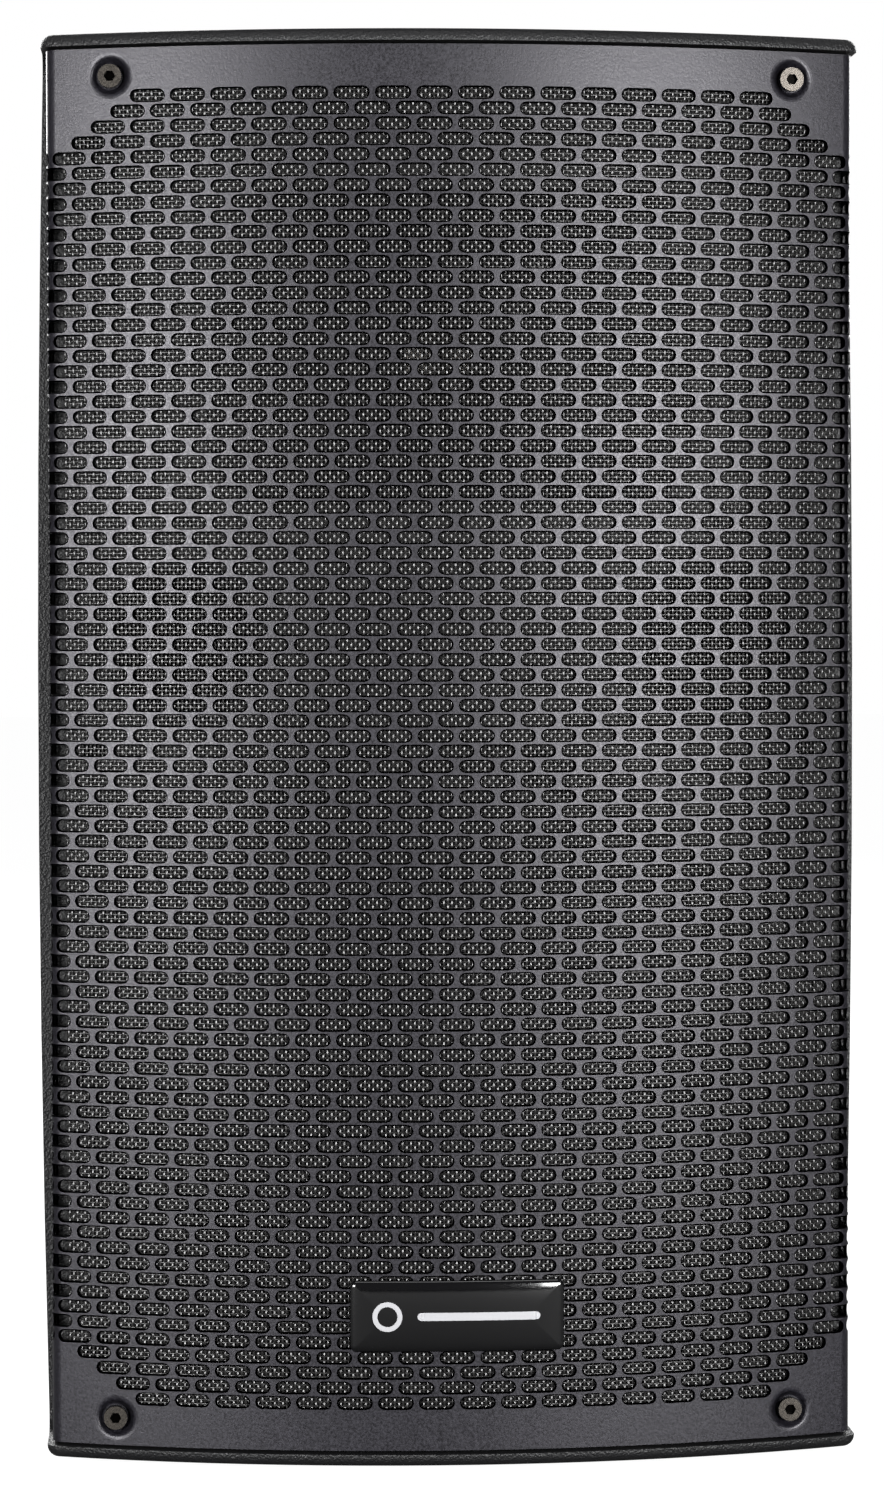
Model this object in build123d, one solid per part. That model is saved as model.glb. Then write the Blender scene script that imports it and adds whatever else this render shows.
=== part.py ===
"""Two-way 10 inch moulded loudspeaker cabinet: wrap-round punched steel grille, rear amplifier panel.

Frame: millimetres, +Z up, +X to the right seen from the front, and the grille faces -Y.
The origin is on the floor under the middle of the cabinet, which stands on its four rubber feet.
"""
from build123d import *
from math import cos, radians, sin, sqrt
import os

# ---------------------------------------------------------------- driving dimensions
# cabinet
BODY_HEIGHT = 500.0          # moulded cabinet without its feet
BODY_DEPTH = 270.0           # front rim to flat rear
CORNER_WIDTH = 287.2         # across the cabinet at its top and bottom corners
SIDE_BOW = 3.0               # how far each side swells at mid height
WALL = 4.4                   # moulded wall
TAPER_LENGTH = 115.0         # the sides draw in over this length at the rear
FOOT_LIFT = 3.0              # gap under the cabinet
FRONT_MOULDING = 83.0        # depth of the front moulding, back to the joint line
EDGE_ROUND = 3.9             # rounding of the cabinet's outer edges

# grille
RIM_BULGE = 25.936           # the rims' middle stands in front of their corners, seen from above
RIM_PROUD = 2.5              # rim stands in front of the grille
RIM_GAP = 1.0                # between rim and grille edge
GRILLE_SHEET = 1.2           # steel thickness
GRILLE_FOLD = 4.0            # outer radius of the fold at each side
RETURN_SETBACK = 57.0        # from the rim's apex back to the grille's rear edges
SIDE_LIP = 1.5               # side wall left outside the grille at the corners
GRILLE_SCREW_HEAD = 4.1      # radius of the M4 screw's wide head
DIMPLE_RADIUS = 6.2
DIMPLE_DEPTH = 3.4
CLOTH = 0.6                  # woven mesh behind the grille
BADGE_WIDTH = 75.0
BADGE_HEIGHT = 25.0

# drivers, all measured back from the baffle's front face
BAFFLE_SETBACK = 39.0        # from the rim's apex
BAFFLE_PLATE = 4.5
WOOFER_FRAME = 131.0         # radius of the woofer's flange
MAGNET_RADIUS = 70.0
COIL_RADIUS = 25.4
HORN_WIDTH = 200.0
HORN_HEIGHT = 138.0
HORN_DEPTH = 72.0
THROAT_RADIUS = 12.7
HF_RADIUS = 45.0
PORT_RADIUS = 25.0           # bore of each bass port
PORT_LENGTH = 110.0

# rear amplifier, underside and top
AMP_WIDTH = 148.0            # recess in the rear wall
AMP_HEIGHT = 308.0
AMP_RECESS = 20.0            # rear wall to the panel's face
PANEL = 2.0
POLE_RADIUS = 17.9           # socket for a 35 mm stand
POLE_DEPTH = 75.0
HANDLE_LENGTH = 140.0
HANDLE_WIDTH = 74.0
HANDLE_DEPTH = 42.0
FOOT_RADIUS = 12.0
FLY_THREAD = 3.4             # M8 insert, radius of the threaded hole

GAP = 0.3                    # parts that lie side by side
FIT = 0.1                    # shanks and plugs in their holes
RUNNING = 0.06               # turning or sliding parts in their bores
GLUE = 0.05                  # glued joints between curved faces

# ---------------------------------------------------------------- places worked out from them
BOTTOM = FOOT_LIFT
TOP = FOOT_LIFT + BODY_HEIGHT
MID = (BOTTOM + TOP) / 2
FRONT = -BODY_DEPTH / 2
REAR = BODY_DEPTH / 2
CORNER_X = CORNER_WIDTH / 2
RIM_RADIUS = (CORNER_X**2 + RIM_BULGE**2) / (2 * RIM_BULGE)
SIDE_X = CORNER_X + SIDE_BOW
REAR_WIDTH = AMP_WIDTH + 42.0
SHOULDER = REAR - TAPER_LENGTH
PARTING = FRONT + FRONT_MOULDING
ROLL_Y = FRONT + RIM_RADIUS                  # rim and grille are rolled about a vertical axis here
GRILLE_RADIUS = RIM_RADIUS - RIM_PROUD
RETURN_X = CORNER_X - SIDE_LIP - GAP         # outside of the grille's side returns
RETURN_END = FRONT + RETURN_SETBACK
SIDE_RIM = RETURN_END - 2.0                  # front edge of the side walls
CHANNEL_FLOOR = RETURN_END + 2.0
PAN_X = RETURN_X - GRILLE_SHEET - 1.0        # outside of the baffle pan
PAN_WALL = 3.0
GRILLE_LOW = BOTTOM + WALL + RIM_GAP
GRILLE_HIGH = TOP - WALL - RIM_GAP
BAFFLE = FRONT + BAFFLE_SETBACK
BAFFLE_BACK = BAFFLE + BAFFLE_PLATE
WOOFER_Z = BOTTOM + 13.0 + WOOFER_FRAME
PORT_Z = WOOFER_Z + WOOFER_FRAME + 12.0
PORT_X = CORNER_X - WALL - 19.2 - PORT_RADIUS
WAIST = PORT_Z - PORT_RADIUS - 12.0          # the halves' middle screws pass below the ports
HORN_Z = TOP - 39.0 - HORN_HEIGHT / 2
GRILLE_SCREW_X = CORNER_X - 24.1
SHELL_SCREW_X = CORNER_X - 17.6
BADGE_Z = BOTTOM + 52.8
AMP_Z = BOTTOM + 93.0 + AMP_HEIGHT / 2
PANEL_FACE = REAR - AMP_RECESS
PANEL_BACK = PANEL_FACE - PANEL
AMP_FLANGE = PANEL_BACK - 1.0                # rear face of the flange that the panel's gasket seats on
MOTOR_END = 90.0                             # woofer's back plate, behind the baffle's front face
POLE_Y = BAFFLE + MOTOR_END + POLE_RADIUS + 6.1
HANDLE_Y = PARTING + 60.0
FAR = 2000.0


# ---------------------------------------------------------------- shapes used throughout
def box(x0, x1, y0, y1, z0, z1):
    return Pos((x0 + x1) / 2, (y0 + y1) / 2, (z0 + z1) / 2) * Box(abs(x1 - x0), abs(y1 - y0), abs(z1 - z0))


def rod_y(radius, y0, y1, x=0.0, z=0.0):
    return Pos(x, (y0 + y1) / 2, z) * Rot(90, 0, 0) * Cylinder(radius, abs(y1 - y0))


def rod_z(radius, z0, z1, x=0.0, y=0.0):
    return Pos(x, y, (z0 + z1) / 2) * Cylinder(radius, abs(z1 - z0))


def rod_x(radius, x0, x1, y=0.0, z=0.0):
    return Pos((x0 + x1) / 2, y, z) * Rot(0, 90, 0) * Cylinder(radius, abs(x1 - x0))


def turned_face(face, x=0.0, z=0.0):
    return Pos(x, 0, z) * revolve(face, Axis.Y)


def turned(points, x=0.0, z=0.0):
    """Turned about an axis along Y, from its closed (radius, y) outline."""
    return turned_face(make_face(Polyline(*points, close=True)), x, z)


def turned_up(points, x=0.0, y=0.0):
    """Turned about a vertical axis, from its closed (radius, z) outline."""
    flat = make_face(Polyline(*[(r, 0, z) for r, z in points], close=True))
    return Pos(x, y, 0) * revolve(flat, Axis.Z)


def slab_y(width, height, radius, y0, y1, x=0.0, z=0.0):
    """A rounded rectangle seen from the front, reaching from y0 back to y1."""
    flat = Pos(x, y1, z) * (Plane.XZ * RectangleRounded(width, height, radius))
    return extrude(flat, y1 - y0)


def slab_z(width, depth, radius, z0, z1, x=0.0, y=0.0):
    flat = Pos(x, y, z0) * RectangleRounded(width, depth, radius)
    return extrude(flat, z1 - z0)


def dome(radius, rise, thick, rim, z, facing):
    """Part of a thin sphere about an axis along Y, rising from its rim to the side that it faces."""
    ball = (radius**2 + rise**2) / (2 * rise)
    centre = rim + facing * (rise - ball)
    skin = Pos(0, centre, z) * (Sphere(ball) - Sphere(ball - thick))
    return skin & rod_y(radius + thick, rim, rim + facing * (rise + thick), 0, z)


def mirrored(*places):
    """Each (x, other) place and its mirror image."""
    return [(side * x, other) for x, other in places for side in (-1, 1)]


def round_places(count, radius, z, start=0.0):
    """count places on a circle about (0, z), seen from the front."""
    turns = [radians(start + 360.0 * i / count) for i in range(count)]
    return [(radius * cos(a), z + radius * sin(a)) for a in turns]


def socket_screw(head_radius, head, shank_radius, seat, length, x, z, facing=-1):
    """A socket-head screw along Y. seat is under the head, and facing is the side that the head looks to."""
    top = seat + facing * head
    body = rod_y(head_radius, seat, top, x, z) + rod_y(shank_radius, seat, seat - facing * length, x, z)
    hexagon = Pos(x, top, z) * (Plane.XZ * RegularPolygon(head_radius * 0.43, 6, major_radius=False))
    return body - extrude(hexagon, head * 0.55, both=True)


# ---------------------------------------------------------------- cabinet envelope
def plan_outline():
    """Seen from above: rolled front, straight sides, then a taper to the flat rear."""
    half = SIDE_X + 2.0
    corner = ROLL_Y - sqrt(RIM_RADIUS**2 - half**2)
    front = ThreePointArc((-half, corner), (0, FRONT), (half, corner))
    rest = Polyline(
        (half, corner), (half, SHOULDER), (REAR_WIDTH / 2, REAR),
        (-REAR_WIDTH / 2, REAR), (-half, SHOULDER), (-half, corner),
    )
    return make_face(front + rest)


def front_outline(inset):
    """Seen from the front: flat top and bottom, with sides that swell by SIDE_BOW."""
    x, low, high = CORNER_X - inset, BOTTOM + inset, TOP - inset
    bow = x + SIDE_BOW
    return make_face(
        Line((-x, 0, low), (x, 0, low))
        + ThreePointArc((x, 0, low), (bow, 0, MID), (x, 0, high))
        + Line((x, 0, high), (-x, 0, high))
        + ThreePointArc((-x, 0, high), (-bow, 0, MID), (-x, 0, low))
    )


def passage(inset, y0, y1):
    """The cabinet's cross-section drawn in by inset, from y0 to y1."""
    return Pos(0, y0, 0) * extrude(front_outline(inset), y1 - y0, dir=(0, 1, 0))


def envelope(inset=0.0):
    """The cabinet's outside, or the same drawn in by inset, with sharp edges."""
    plan = plan_outline()
    if inset:
        plan = offset(plan, amount=-inset, kind=Kind.INTERSECTION)
    upright = Pos(0, 0, BOTTOM - 10) * extrude(plan, BODY_HEIGHT + 20)
    return upright & passage(inset, FRONT - 50, REAR + 50)


def upright_edges(body, keep):
    long = BODY_HEIGHT * 0.9
    return body.edges().filter_by(lambda e: abs(e.tangent_at(0.5).Z) > 0.9 and e.length > long and keep(e.center().Y))


def cabinet_outside():
    body = envelope()
    body = fillet(upright_edges(body, lambda y: abs(y - SHOULDER) < 20), 24.0)
    body = fillet(upright_edges(body, lambda y: y > REAR - 5), 16.0)
    body = fillet(upright_edges(body, lambda y: y < SIDE_RIM), 5.0)
    rims = body.edges().filter_by(lambda e: min(abs(e.center().Z - TOP), abs(e.center().Z - BOTTOM)) < 0.01)
    return fillet(rims, EDGE_ROUND)


OUTSIDE = cabinet_outside()


# ---------------------------------------------------------------- front moulding
GRILLE_SCREWS = mirrored((GRILLE_SCREW_X, BOTTOM + 15.0), (GRILLE_SCREW_X, TOP - 15.0))
SHELL_SCREWS = mirrored((SHELL_SCREW_X, BOTTOM + 37.0), (SHELL_SCREW_X, WAIST), (SHELL_SCREW_X, TOP - 37.0))
WOOFER_SCREWS = round_places(8, WOOFER_FRAME - 6.5, WOOFER_Z, 22.5)
HORN_SCREWS = mirrored(
    (HORN_WIDTH / 2 - 6.5, HORN_Z - HORN_HEIGHT / 2 + 6.5),
    (HORN_WIDTH / 2 - 6.5, HORN_Z + HORN_HEIGHT / 2 - 6.5),
)
PORTS = mirrored((PORT_X, PORT_Z))
SEAT_DEPTH = 4.0             # woofer's flange and gasket sink into the baffle
TONGUE = 3.0                 # front moulding's tongue reaches into the rear shell
SHELL_HEAD_SEAT = BAFFLE + 36.0
SHELL_LUG = BAFFLE + 66.0
MOUTH_WIDTH = HORN_WIDTH - 26.0
MOUTH_HEIGHT = HORN_HEIGHT - 26.0
HORN_SKIN = 3.0
DIMPLE_FLOOR = ROLL_Y - sqrt(GRILLE_RADIUS**2 - GRILLE_SCREW_X**2) + DIMPLE_DEPTH
BOSS_FACE = DIMPLE_FLOOR + GRILLE_SHEET


def side_cutback():
    """The side walls start behind the grille's fold, with a round sweep up to the top and bottom rims."""
    low, high, sweep = BOTTOM + WALL, TOP - WALL, 9.0
    flat = Plane.YZ * Pos((FRONT - 60 + SIDE_RIM) / 2, MID) * RectangleRounded(
        SIDE_RIM - FRONT + 60, high - low, sweep)
    return extrude(flat, SIDE_X + 20, both=True)


def front_moulding():
    low, high = BOTTOM + WALL, TOP - WALL
    body = OUTSIDE & box(-FAR, FAR, FRONT - 10, PARTING - 0.5, -FAR, FAR)
    body -= passage(WALL, FRONT - 20, PARTING + 20)
    body += passage(WALL / 2, PARTING - 6, PARTING + TONGUE) - passage(WALL, PARTING - 20, PARTING + 20)
    rebate = RETURN_X + GAP
    body -= box(-rebate, rebate, FRONT - 20, CHANNEL_FLOOR, low, high)
    body -= side_cutback()
    pan = passage(WALL - 1, CHANNEL_FLOOR, CHANNEL_FLOOR + 4)
    pan += box(-PAN_X, PAN_X, BAFFLE, CHANNEL_FLOOR + 4, low - 1, high + 1)
    inner = PAN_X - PAN_WALL
    pan -= box(-inner, inner, BAFFLE_BACK, FAR, low, high)
    body += pan
    body += rod_y(WOOFER_FRAME + 5, BAFFLE, BAFFLE + 8, 0, WOOFER_Z)
    for x, z in GRILLE_SCREWS:
        body += rod_y(6, BOSS_FACE, BAFFLE + 1, x, z)
        body += rod_y(6, BAFFLE, BAFFLE + 12, x, z)
    for x, z in SHELL_SCREWS:
        body += rod_y(7, BAFFLE, SHELL_LUG - FIT, x, z)
    for x, z in WOOFER_SCREWS + HORN_SCREWS:
        body += rod_y(6, BAFFLE + 2, BAFFLE + 14, x, z)
    for x, z in PORTS:
        body += rod_y(PORT_RADIUS + 6, BAFFLE, BAFFLE + 10, x, z)
    # what is cut through it
    body -= rod_y(WOOFER_FRAME + 1, BAFFLE - 1, BAFFLE + SEAT_DEPTH, 0, WOOFER_Z)
    body -= rod_y(WOOFER_FRAME - 15, BAFFLE - 1, BAFFLE + 20, 0, WOOFER_Z)
    body -= slab_y(MOUTH_WIDTH + 10, MOUTH_HEIGHT + 10, 24, BAFFLE - 1, BAFFLE + 20, 0, HORN_Z)
    for x, z in PORTS:
        body -= rod_y(PORT_RADIUS + 2 + GAP, BAFFLE - 1, BAFFLE + 20, x, z)
    for x, z in GRILLE_SCREWS:
        body -= rod_y(3.0 + FIT, BOSS_FACE - 1, BOSS_FACE + 10.2, x, z)
        body -= rod_y(2.6, BOSS_FACE, BAFFLE + 6, x, z)
    for x, z in SHELL_SCREWS:
        body -= rod_y(5, BAFFLE - 1, SHELL_HEAD_SEAT, x, z)
        body -= rod_y(2.75, BAFFLE, SHELL_LUG + 1, x, z)
    for x, z in WOOFER_SCREWS:
        body -= rod_y(2.4 + FIT, BAFFLE - 1, BAFFLE + 12.5, x, z)
    for x, z in HORN_SCREWS:
        body -= rod_y(2.0 + FIT, BAFFLE - 1, BAFFLE + 12.5, x, z)
    for x, y in FRONT_FEET:
        body -= rod_z(FOOT_RADIUS + GAP, BOTTOM - 1, BOTTOM + FOOT_RECESS, x, y)
    return body


# ---------------------------------------------------------------- rear moulding
FOOT_RECESS = 1.4
FRONT_FEET = mirrored((CORNER_X - 43.6, PARTING - 23.0))
REAR_FEET = mirrored((REAR_WIDTH / 2 - 7.0, REAR - 50.0))
CUP_RADIUS = POLE_RADIUS + 4.1
CUP_FLANGE = CUP_RADIUS + 20.0
CUP_PLATE = 2.4
CUP_SCREWS = [((CUP_RADIUS + 12) * cos(a), POLE_Y + (CUP_RADIUS + 12) * sin(a))
              for a in (radians(45 + 90 * i) for i in range(4))]
FLY_POINTS = mirrored((60.0, REAR - 60.0))
FLY_LENGTH = 18.0
HANDLE_FLOOR = TOP - HANDLE_DEPTH
HANDLE_LEDGE = 12.0
HANDLE_LEDGE_TOP = TOP - 18.0
HANDLE_SCREW_X = HANDLE_LENGTH / 2 - HANDLE_LEDGE / 2
HANDLE_SCREWS = mirrored((HANDLE_SCREW_X, HANDLE_Y - 7.0), (HANDLE_SCREW_X, HANDLE_Y + 7.0))
HANDLE_SCREW_SEAT = TOP - 8.0
FLAT_SCREW = 20.0            # length of a countersunk M4
FLAT_HEAD = 2.2
AMP_OPENING_X = AMP_WIDTH / 2 - 10.0
AMP_OPENING_Z = AMP_HEIGHT / 2 - 10.0
PANEL_SCREWS = mirrored(*[(AMP_WIDTH / 2 - 5.0, AMP_Z + (AMP_HEIGHT / 2 - 6.0) * k) for k in (-1, -1 / 3, 1 / 3, 1)])


def amp_slab(half_x, half_z, radius, y0, y1):
    return slab_y(2 * half_x, 2 * half_z, radius, y0, y1, 0, AMP_Z)


def rear_moulding():
    body = OUTSIDE & box(-FAR, FAR, PARTING, REAR + 10, -FAR, FAR)
    hollow = envelope(WALL)
    body -= hollow
    body -= passage(WALL / 2 - FIT, PARTING - 5, PARTING + TONGUE + GAP)
    # amplifier recess with its flange
    skin = 3.0
    body += amp_slab(AMP_WIDTH / 2 + skin, AMP_HEIGHT / 2 + skin, 6 + skin, AMP_FLANGE - 4, REAR - 1)
    body -= amp_slab(AMP_WIDTH / 2, AMP_HEIGHT / 2, 6, AMP_FLANGE, REAR + 5)
    body -= amp_slab(AMP_OPENING_X, AMP_OPENING_Z, 5, AMP_FLANGE - 10, AMP_FLANGE + 1)
    for x, z in PANEL_SCREWS:
        body += rod_y(4, AMP_FLANGE - 14, AMP_FLANGE - 2, x, z)
        body -= rod_y(2.0 + FIT, AMP_FLANGE - 12, AMP_FLANGE + 1, x, z)
    # handle recess in the top
    top_skin = slab_z(HANDLE_LENGTH + 7, HANDLE_WIDTH + 7, 15, HANDLE_FLOOR - 3.5, TOP - 1, 0, HANDLE_Y)
    recess = slab_z(HANDLE_LENGTH, HANDLE_WIDTH, 12, HANDLE_FLOOR, TOP + 5, 0, HANDLE_Y)
    body += top_skin
    body -= recess
    for side in (-1, 1):
        inner, outer = side * (HANDLE_LENGTH / 2 - HANDLE_LEDGE), side * (HANDLE_LENGTH / 2 + 1)
        body += top_skin & box(inner, outer, -FAR, FAR, HANDLE_FLOOR - 2, HANDLE_LEDGE_TOP)
    for x, y in HANDLE_SCREWS:
        body -= rod_z(2.0 + FIT, HANDLE_LEDGE_TOP - 20, HANDLE_LEDGE_TOP + 1, x, y)
    # fixing points, stand socket and feet
    for x, y in FLY_POINTS:
        body += rod_z(9, TOP - FLY_LENGTH - 4, TOP - 1, x, y)
        body -= rod_z(5.5 + FIT, TOP - FLY_LENGTH, TOP + 1, x, y)
        body += rod_z(9, BOTTOM + 1, BOTTOM + FLY_LENGTH + 4, x, y)
        body -= rod_z(5.5 + FIT, BOTTOM - 1, BOTTOM + FLY_LENGTH, x, y)
    body -= rod_z(CUP_RADIUS + GAP, BOTTOM - 1, BOTTOM + WALL + 1, 0, POLE_Y)
    for x, y in CUP_SCREWS:
        body += rod_z(5, BOTTOM + WALL - 1, BOTTOM + FLAT_SCREW + 2, x, y)
        body -= rod_z(2.0 + FIT, BOTTOM - 1, BOTTOM + FLAT_SCREW, x, y)
    for x, y in REAR_FEET:
        body -= rod_z(FOOT_RADIUS + GAP, BOTTOM - 1, BOTTOM + FOOT_RECESS, x, y)
    for x, z in SHELL_SCREWS:
        side = 1 if x > 0 else -1
        lug = rod_y(7, SHELL_LUG, SHELL_LUG + 26, x, z)
        lug += box(x, side * (CORNER_X + 1), SHELL_LUG, SHELL_LUG + 26, z - 3, z + 3)
        body += lug & hollow
        body -= rod_y(2.5 + FIT, SHELL_LUG - 1, SHELL_LUG + 22, x, z)
    return body


def rubber_feet():
    return [rod_z(FOOT_RADIUS, 0, BOTTOM + FOOT_RECESS, x, y) for x, y in FRONT_FEET + REAR_FEET]


def shell_screws():
    length = SHELL_LUG + 18 - SHELL_HEAD_SEAT
    return [socket_screw(4.25, 5, 2.5, SHELL_HEAD_SEAT, length, x, z) for x, z in SHELL_SCREWS]


# ---------------------------------------------------------------- grille, mesh, badge
def grille_prism(inset, back):
    """Solid inside of the folded sheet's outer face, drawn in by inset."""
    x, radius = RETURN_X - inset, GRILLE_RADIUS - inset
    corner = ROLL_Y - sqrt(radius**2 - x**2)
    face = make_face(
        ThreePointArc((-x, corner), (0, ROLL_Y - radius), (x, corner))
        + Polyline((x, corner), (x, back), (-x, back), (-x, corner))
    )
    folds = face.vertices().filter_by(lambda v: v.Y < corner + 1)
    face = fillet(folds, GRILLE_FOLD - inset)
    return Pos(0, 0, GRILLE_LOW) * extrude(face, GRILLE_HIGH - GRILLE_LOW)


def dimple(grow, x, z):
    """The pressed cone round a screw, from its floor out to the front."""
    reach = 8.0
    spread = (DIMPLE_RADIUS - GRILLE_SCREW_HEAD - FIT) / DIMPLE_DEPTH * reach
    radius = GRILLE_SCREW_HEAD + FIT + grow
    floor = DIMPLE_FLOOR + (GRILLE_SHEET if grow else 0)
    return turned([(0, floor), (radius, floor), (radius + spread, floor - reach), (0, floor - reach)], x, z)


def grille():
    outer = grille_prism(0, RETURN_END)
    sheet = outer - grille_prism(GRILLE_SHEET, RETURN_END + 20)
    for x, z in GRILLE_SCREWS:
        sheet += dimple(GRILLE_SHEET, x, z) & outer
        sheet -= dimple(0, x, z)
        sheet -= rod_y(2.2, DIMPLE_FLOOR - 1, BOSS_FACE + 1, x, z)
    return sheet


def grille_mesh():
    """The woven mesh cloth, laid into the grille's curve."""
    half, edge = RETURN_X - 5.8, 3.7
    outer = GRILLE_RADIUS - GRILLE_SHEET - 0.2
    low, high = GRILLE_LOW + edge, GRILLE_HIGH - edge
    cloth = rod_z(outer, low, high, 0, ROLL_Y) - rod_z(outer - CLOTH, low - 1, high + 1, 0, ROLL_Y)
    cloth &= box(-half, half, FRONT - 10, 0, low - 1, high + 1)
    for x, z in GRILLE_SCREWS:
        cloth -= rod_y(DIMPLE_RADIUS + 3.0, FRONT, BAFFLE, x, z)
    return cloth


def grille_screws():
    return [socket_screw(GRILLE_SCREW_HEAD, 4, 2, DIMPLE_FLOOR, 14, x, z) for x, z in GRILLE_SCREWS]


def grille_inserts():
    """Brass inserts moulded into the bosses behind the dimples."""
    face = BOSS_FACE
    return [rod_y(3.0, face, face + 10, x, z) - rod_y(2 + RUNNING, face - 1, face + 11, x, z)
            for x, z in GRILLE_SCREWS]


def badge():
    """A domed plate that follows the grille's curve."""
    inner = GRILLE_RADIUS + FIT
    ring = rod_z(inner + 1.9, 0, TOP, 0, ROLL_Y) - rod_z(inner, -1, TOP + 1, 0, ROLL_Y)
    plate = ring & slab_y(BADGE_WIDTH, BADGE_HEIGHT, 2.4, FRONT - 10, BAFFLE, 0, BADGE_Z)
    rim = plate.edges().filter_by(lambda e: e.center().Y < ROLL_Y - sqrt((inner + 1.8)**2 - e.center().X**2))
    return fillet(rim, 0.8)


# ---------------------------------------------------------------- woofer
def woofer(points):
    """Turned about the woofer's axis from (radius, distance behind the baffle's front face)."""
    return turned([(r, BAFFLE + t) for r, t in points], 0, WOOFER_Z)


FLANGE_FRONT = 0.8
FLANGE_BACK = 2.8
CONE_EDGE = WOOFER_FRAME - 34.0
SHELF = 45.0                 # spider's landing in the basket
SHELF_RADIUS = MAGNET_RADIUS + 4.0
PLATE_FRONT = 54.0
PLATE_BACK = 62.0
MAGNET_BACK = 82.0
NECK = 41.0                  # where the cone meets the voice coil former
CONE_START = CONE_EDGE - 5.5  # the cone's slope starts inside the surround's landing
DUST_CAP_RADIUS = 36.0


def woofer_gasket():
    ring = woofer([(WOOFER_FRAME - 14, FLANGE_BACK), (WOOFER_FRAME, FLANGE_BACK),
                   (WOOFER_FRAME, SEAT_DEPTH), (WOOFER_FRAME - 14, SEAT_DEPTH)])
    for x, z in WOOFER_SCREWS:
        ring -= rod_y(2.9, BAFFLE, BAFFLE + 10, x, z)
    return ring


def woofer_basket():
    """Pressed steel: flange, six-legged cone, spider shelf, and the ring on the top plate."""
    r, s = WOOFER_FRAME, SHELF_RADIUS
    body = woofer([
        (r, FLANGE_FRONT), (r, FLANGE_BACK), (r - 16, FLANGE_BACK), (s + 1, SHELF + 2), (s - 7.5, SHELF + 2),
        (s - 9.5, PLATE_FRONT), (40, PLATE_FRONT), (40, PLATE_FRONT - 2), (s - 11.2, PLATE_FRONT - 2),
        (s - 9.2, SHELF), (s, SHELF), (r - 17.5, FLANGE_FRONT),
    ])
    window = box(s - 6, r - 12, BAFFLE + 12, BAFFLE + SHELF - 4, -21, 21)
    for i in range(6):
        body -= Pos(0, 0, WOOFER_Z) * Rot(0, 60 * i + 30, 0) * window
    for x, z in WOOFER_SCREWS:
        body -= rod_y(2.8, BAFFLE - 1, BAFFLE + 8, x, z)
    return body


def woofer_surround():
    """Half-roll rubber surround between the flange and the cone's edge."""
    y, inner, outer = BAFFLE, CONE_EDGE, CONE_EDGE + 13.0
    mid, thick = (inner + outer) / 2, FLANGE_FRONT
    land_out, land_in = outer + 6.0, inner - 5.0
    roll = (outer - inner) / 2
    face = make_face(
        Line((land_out, y), (outer, y))
        + ThreePointArc((outer, y), (mid, y - roll), (inner, y))
        + Polyline((inner, y), (land_in, y), (land_in, y + thick), (inner + thick, y + thick), (inner + thick, y))
        + ThreePointArc((inner + thick, y), (mid, y - roll + thick), (outer - thick, y))
        + Polyline((outer - thick, y), (outer - thick, y + thick), (land_out, y + thick), (land_out, y))
    )
    return turned_face(face, 0, WOOFER_Z)


def woofer_cone():
    edge, neck = CONE_EDGE, COIL_RADIUS + GLUE
    return woofer([(edge, 0.8), (CONE_START, 0.8), (neck, NECK - 1.5), (neck, NECK), (edge - 5.0, 2.0), (edge, 2.0)])


def woofer_dust_cap():
    down = (CONE_START - DUST_CAP_RADIUS) / (CONE_START - COIL_RADIUS - GLUE)    # its share of the cone's slope
    rim = 0.8 + down * (NECK - 1.5 - 0.8) - GAP
    return dome(DUST_CAP_RADIUS, 11.0, 0.8, BAFFLE + rim, WOOFER_Z, -1)


def woofer_voice_coil():
    """Former tube with its copper winding."""
    r = COIL_RADIUS
    return woofer([(r - 0.4, NECK - 4), (r, NECK - 4), (r, 50), (r + 1.3, 50), (r + 1.3, 66), (r - 0.4, 66)])


def woofer_spider():
    """Corrugated cloth disc that centres the coil."""
    inner, outer, land = COIL_RADIUS + GLUE, SHELF_RADIUS - 2.0, SHELF_RADIUS - 8.5
    waves, thick = 12, 0.6
    start = inner + 3.0
    step = (land - start) / waves
    middle = SHELF - 1.6
    crests = [(start + step * i, middle + (0.9 if i % 2 else -0.9)) for i in range(1, waves)]
    top = [(inner, middle), (start, middle)] + crests + [(land, SHELF - thick), (outer, SHELF - thick)]
    return woofer(top + [(r, t + thick) for r, t in reversed(top)])


def woofer_top_plate():
    bore, rim = COIL_RADIUS + 2.0, 60.0
    return woofer([(bore, PLATE_FRONT), (rim, PLATE_FRONT), (rim, PLATE_BACK), (bore, PLATE_BACK)])


def woofer_magnet():
    rim = MAGNET_RADIUS
    return woofer([(33, PLATE_BACK), (rim, PLATE_BACK), (rim, MAGNET_BACK), (33, MAGNET_BACK)])


def woofer_back_plate():
    """Back plate with its vented pole."""
    pole, vent, rim = COIL_RADIUS - 1.0, 6.0, 62.0
    return woofer([
        (vent, PLATE_FRONT), (pole, PLATE_FRONT), (pole, MAGNET_BACK),
        (rim, MAGNET_BACK), (rim, MOTOR_END), (vent, MOTOR_END),
    ])


def woofer_screws():
    seat = BAFFLE + FLANGE_FRONT
    return [socket_screw(4.25, 3, 2.4, seat, 11, x, z) for x, z in WOOFER_SCREWS]


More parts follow.
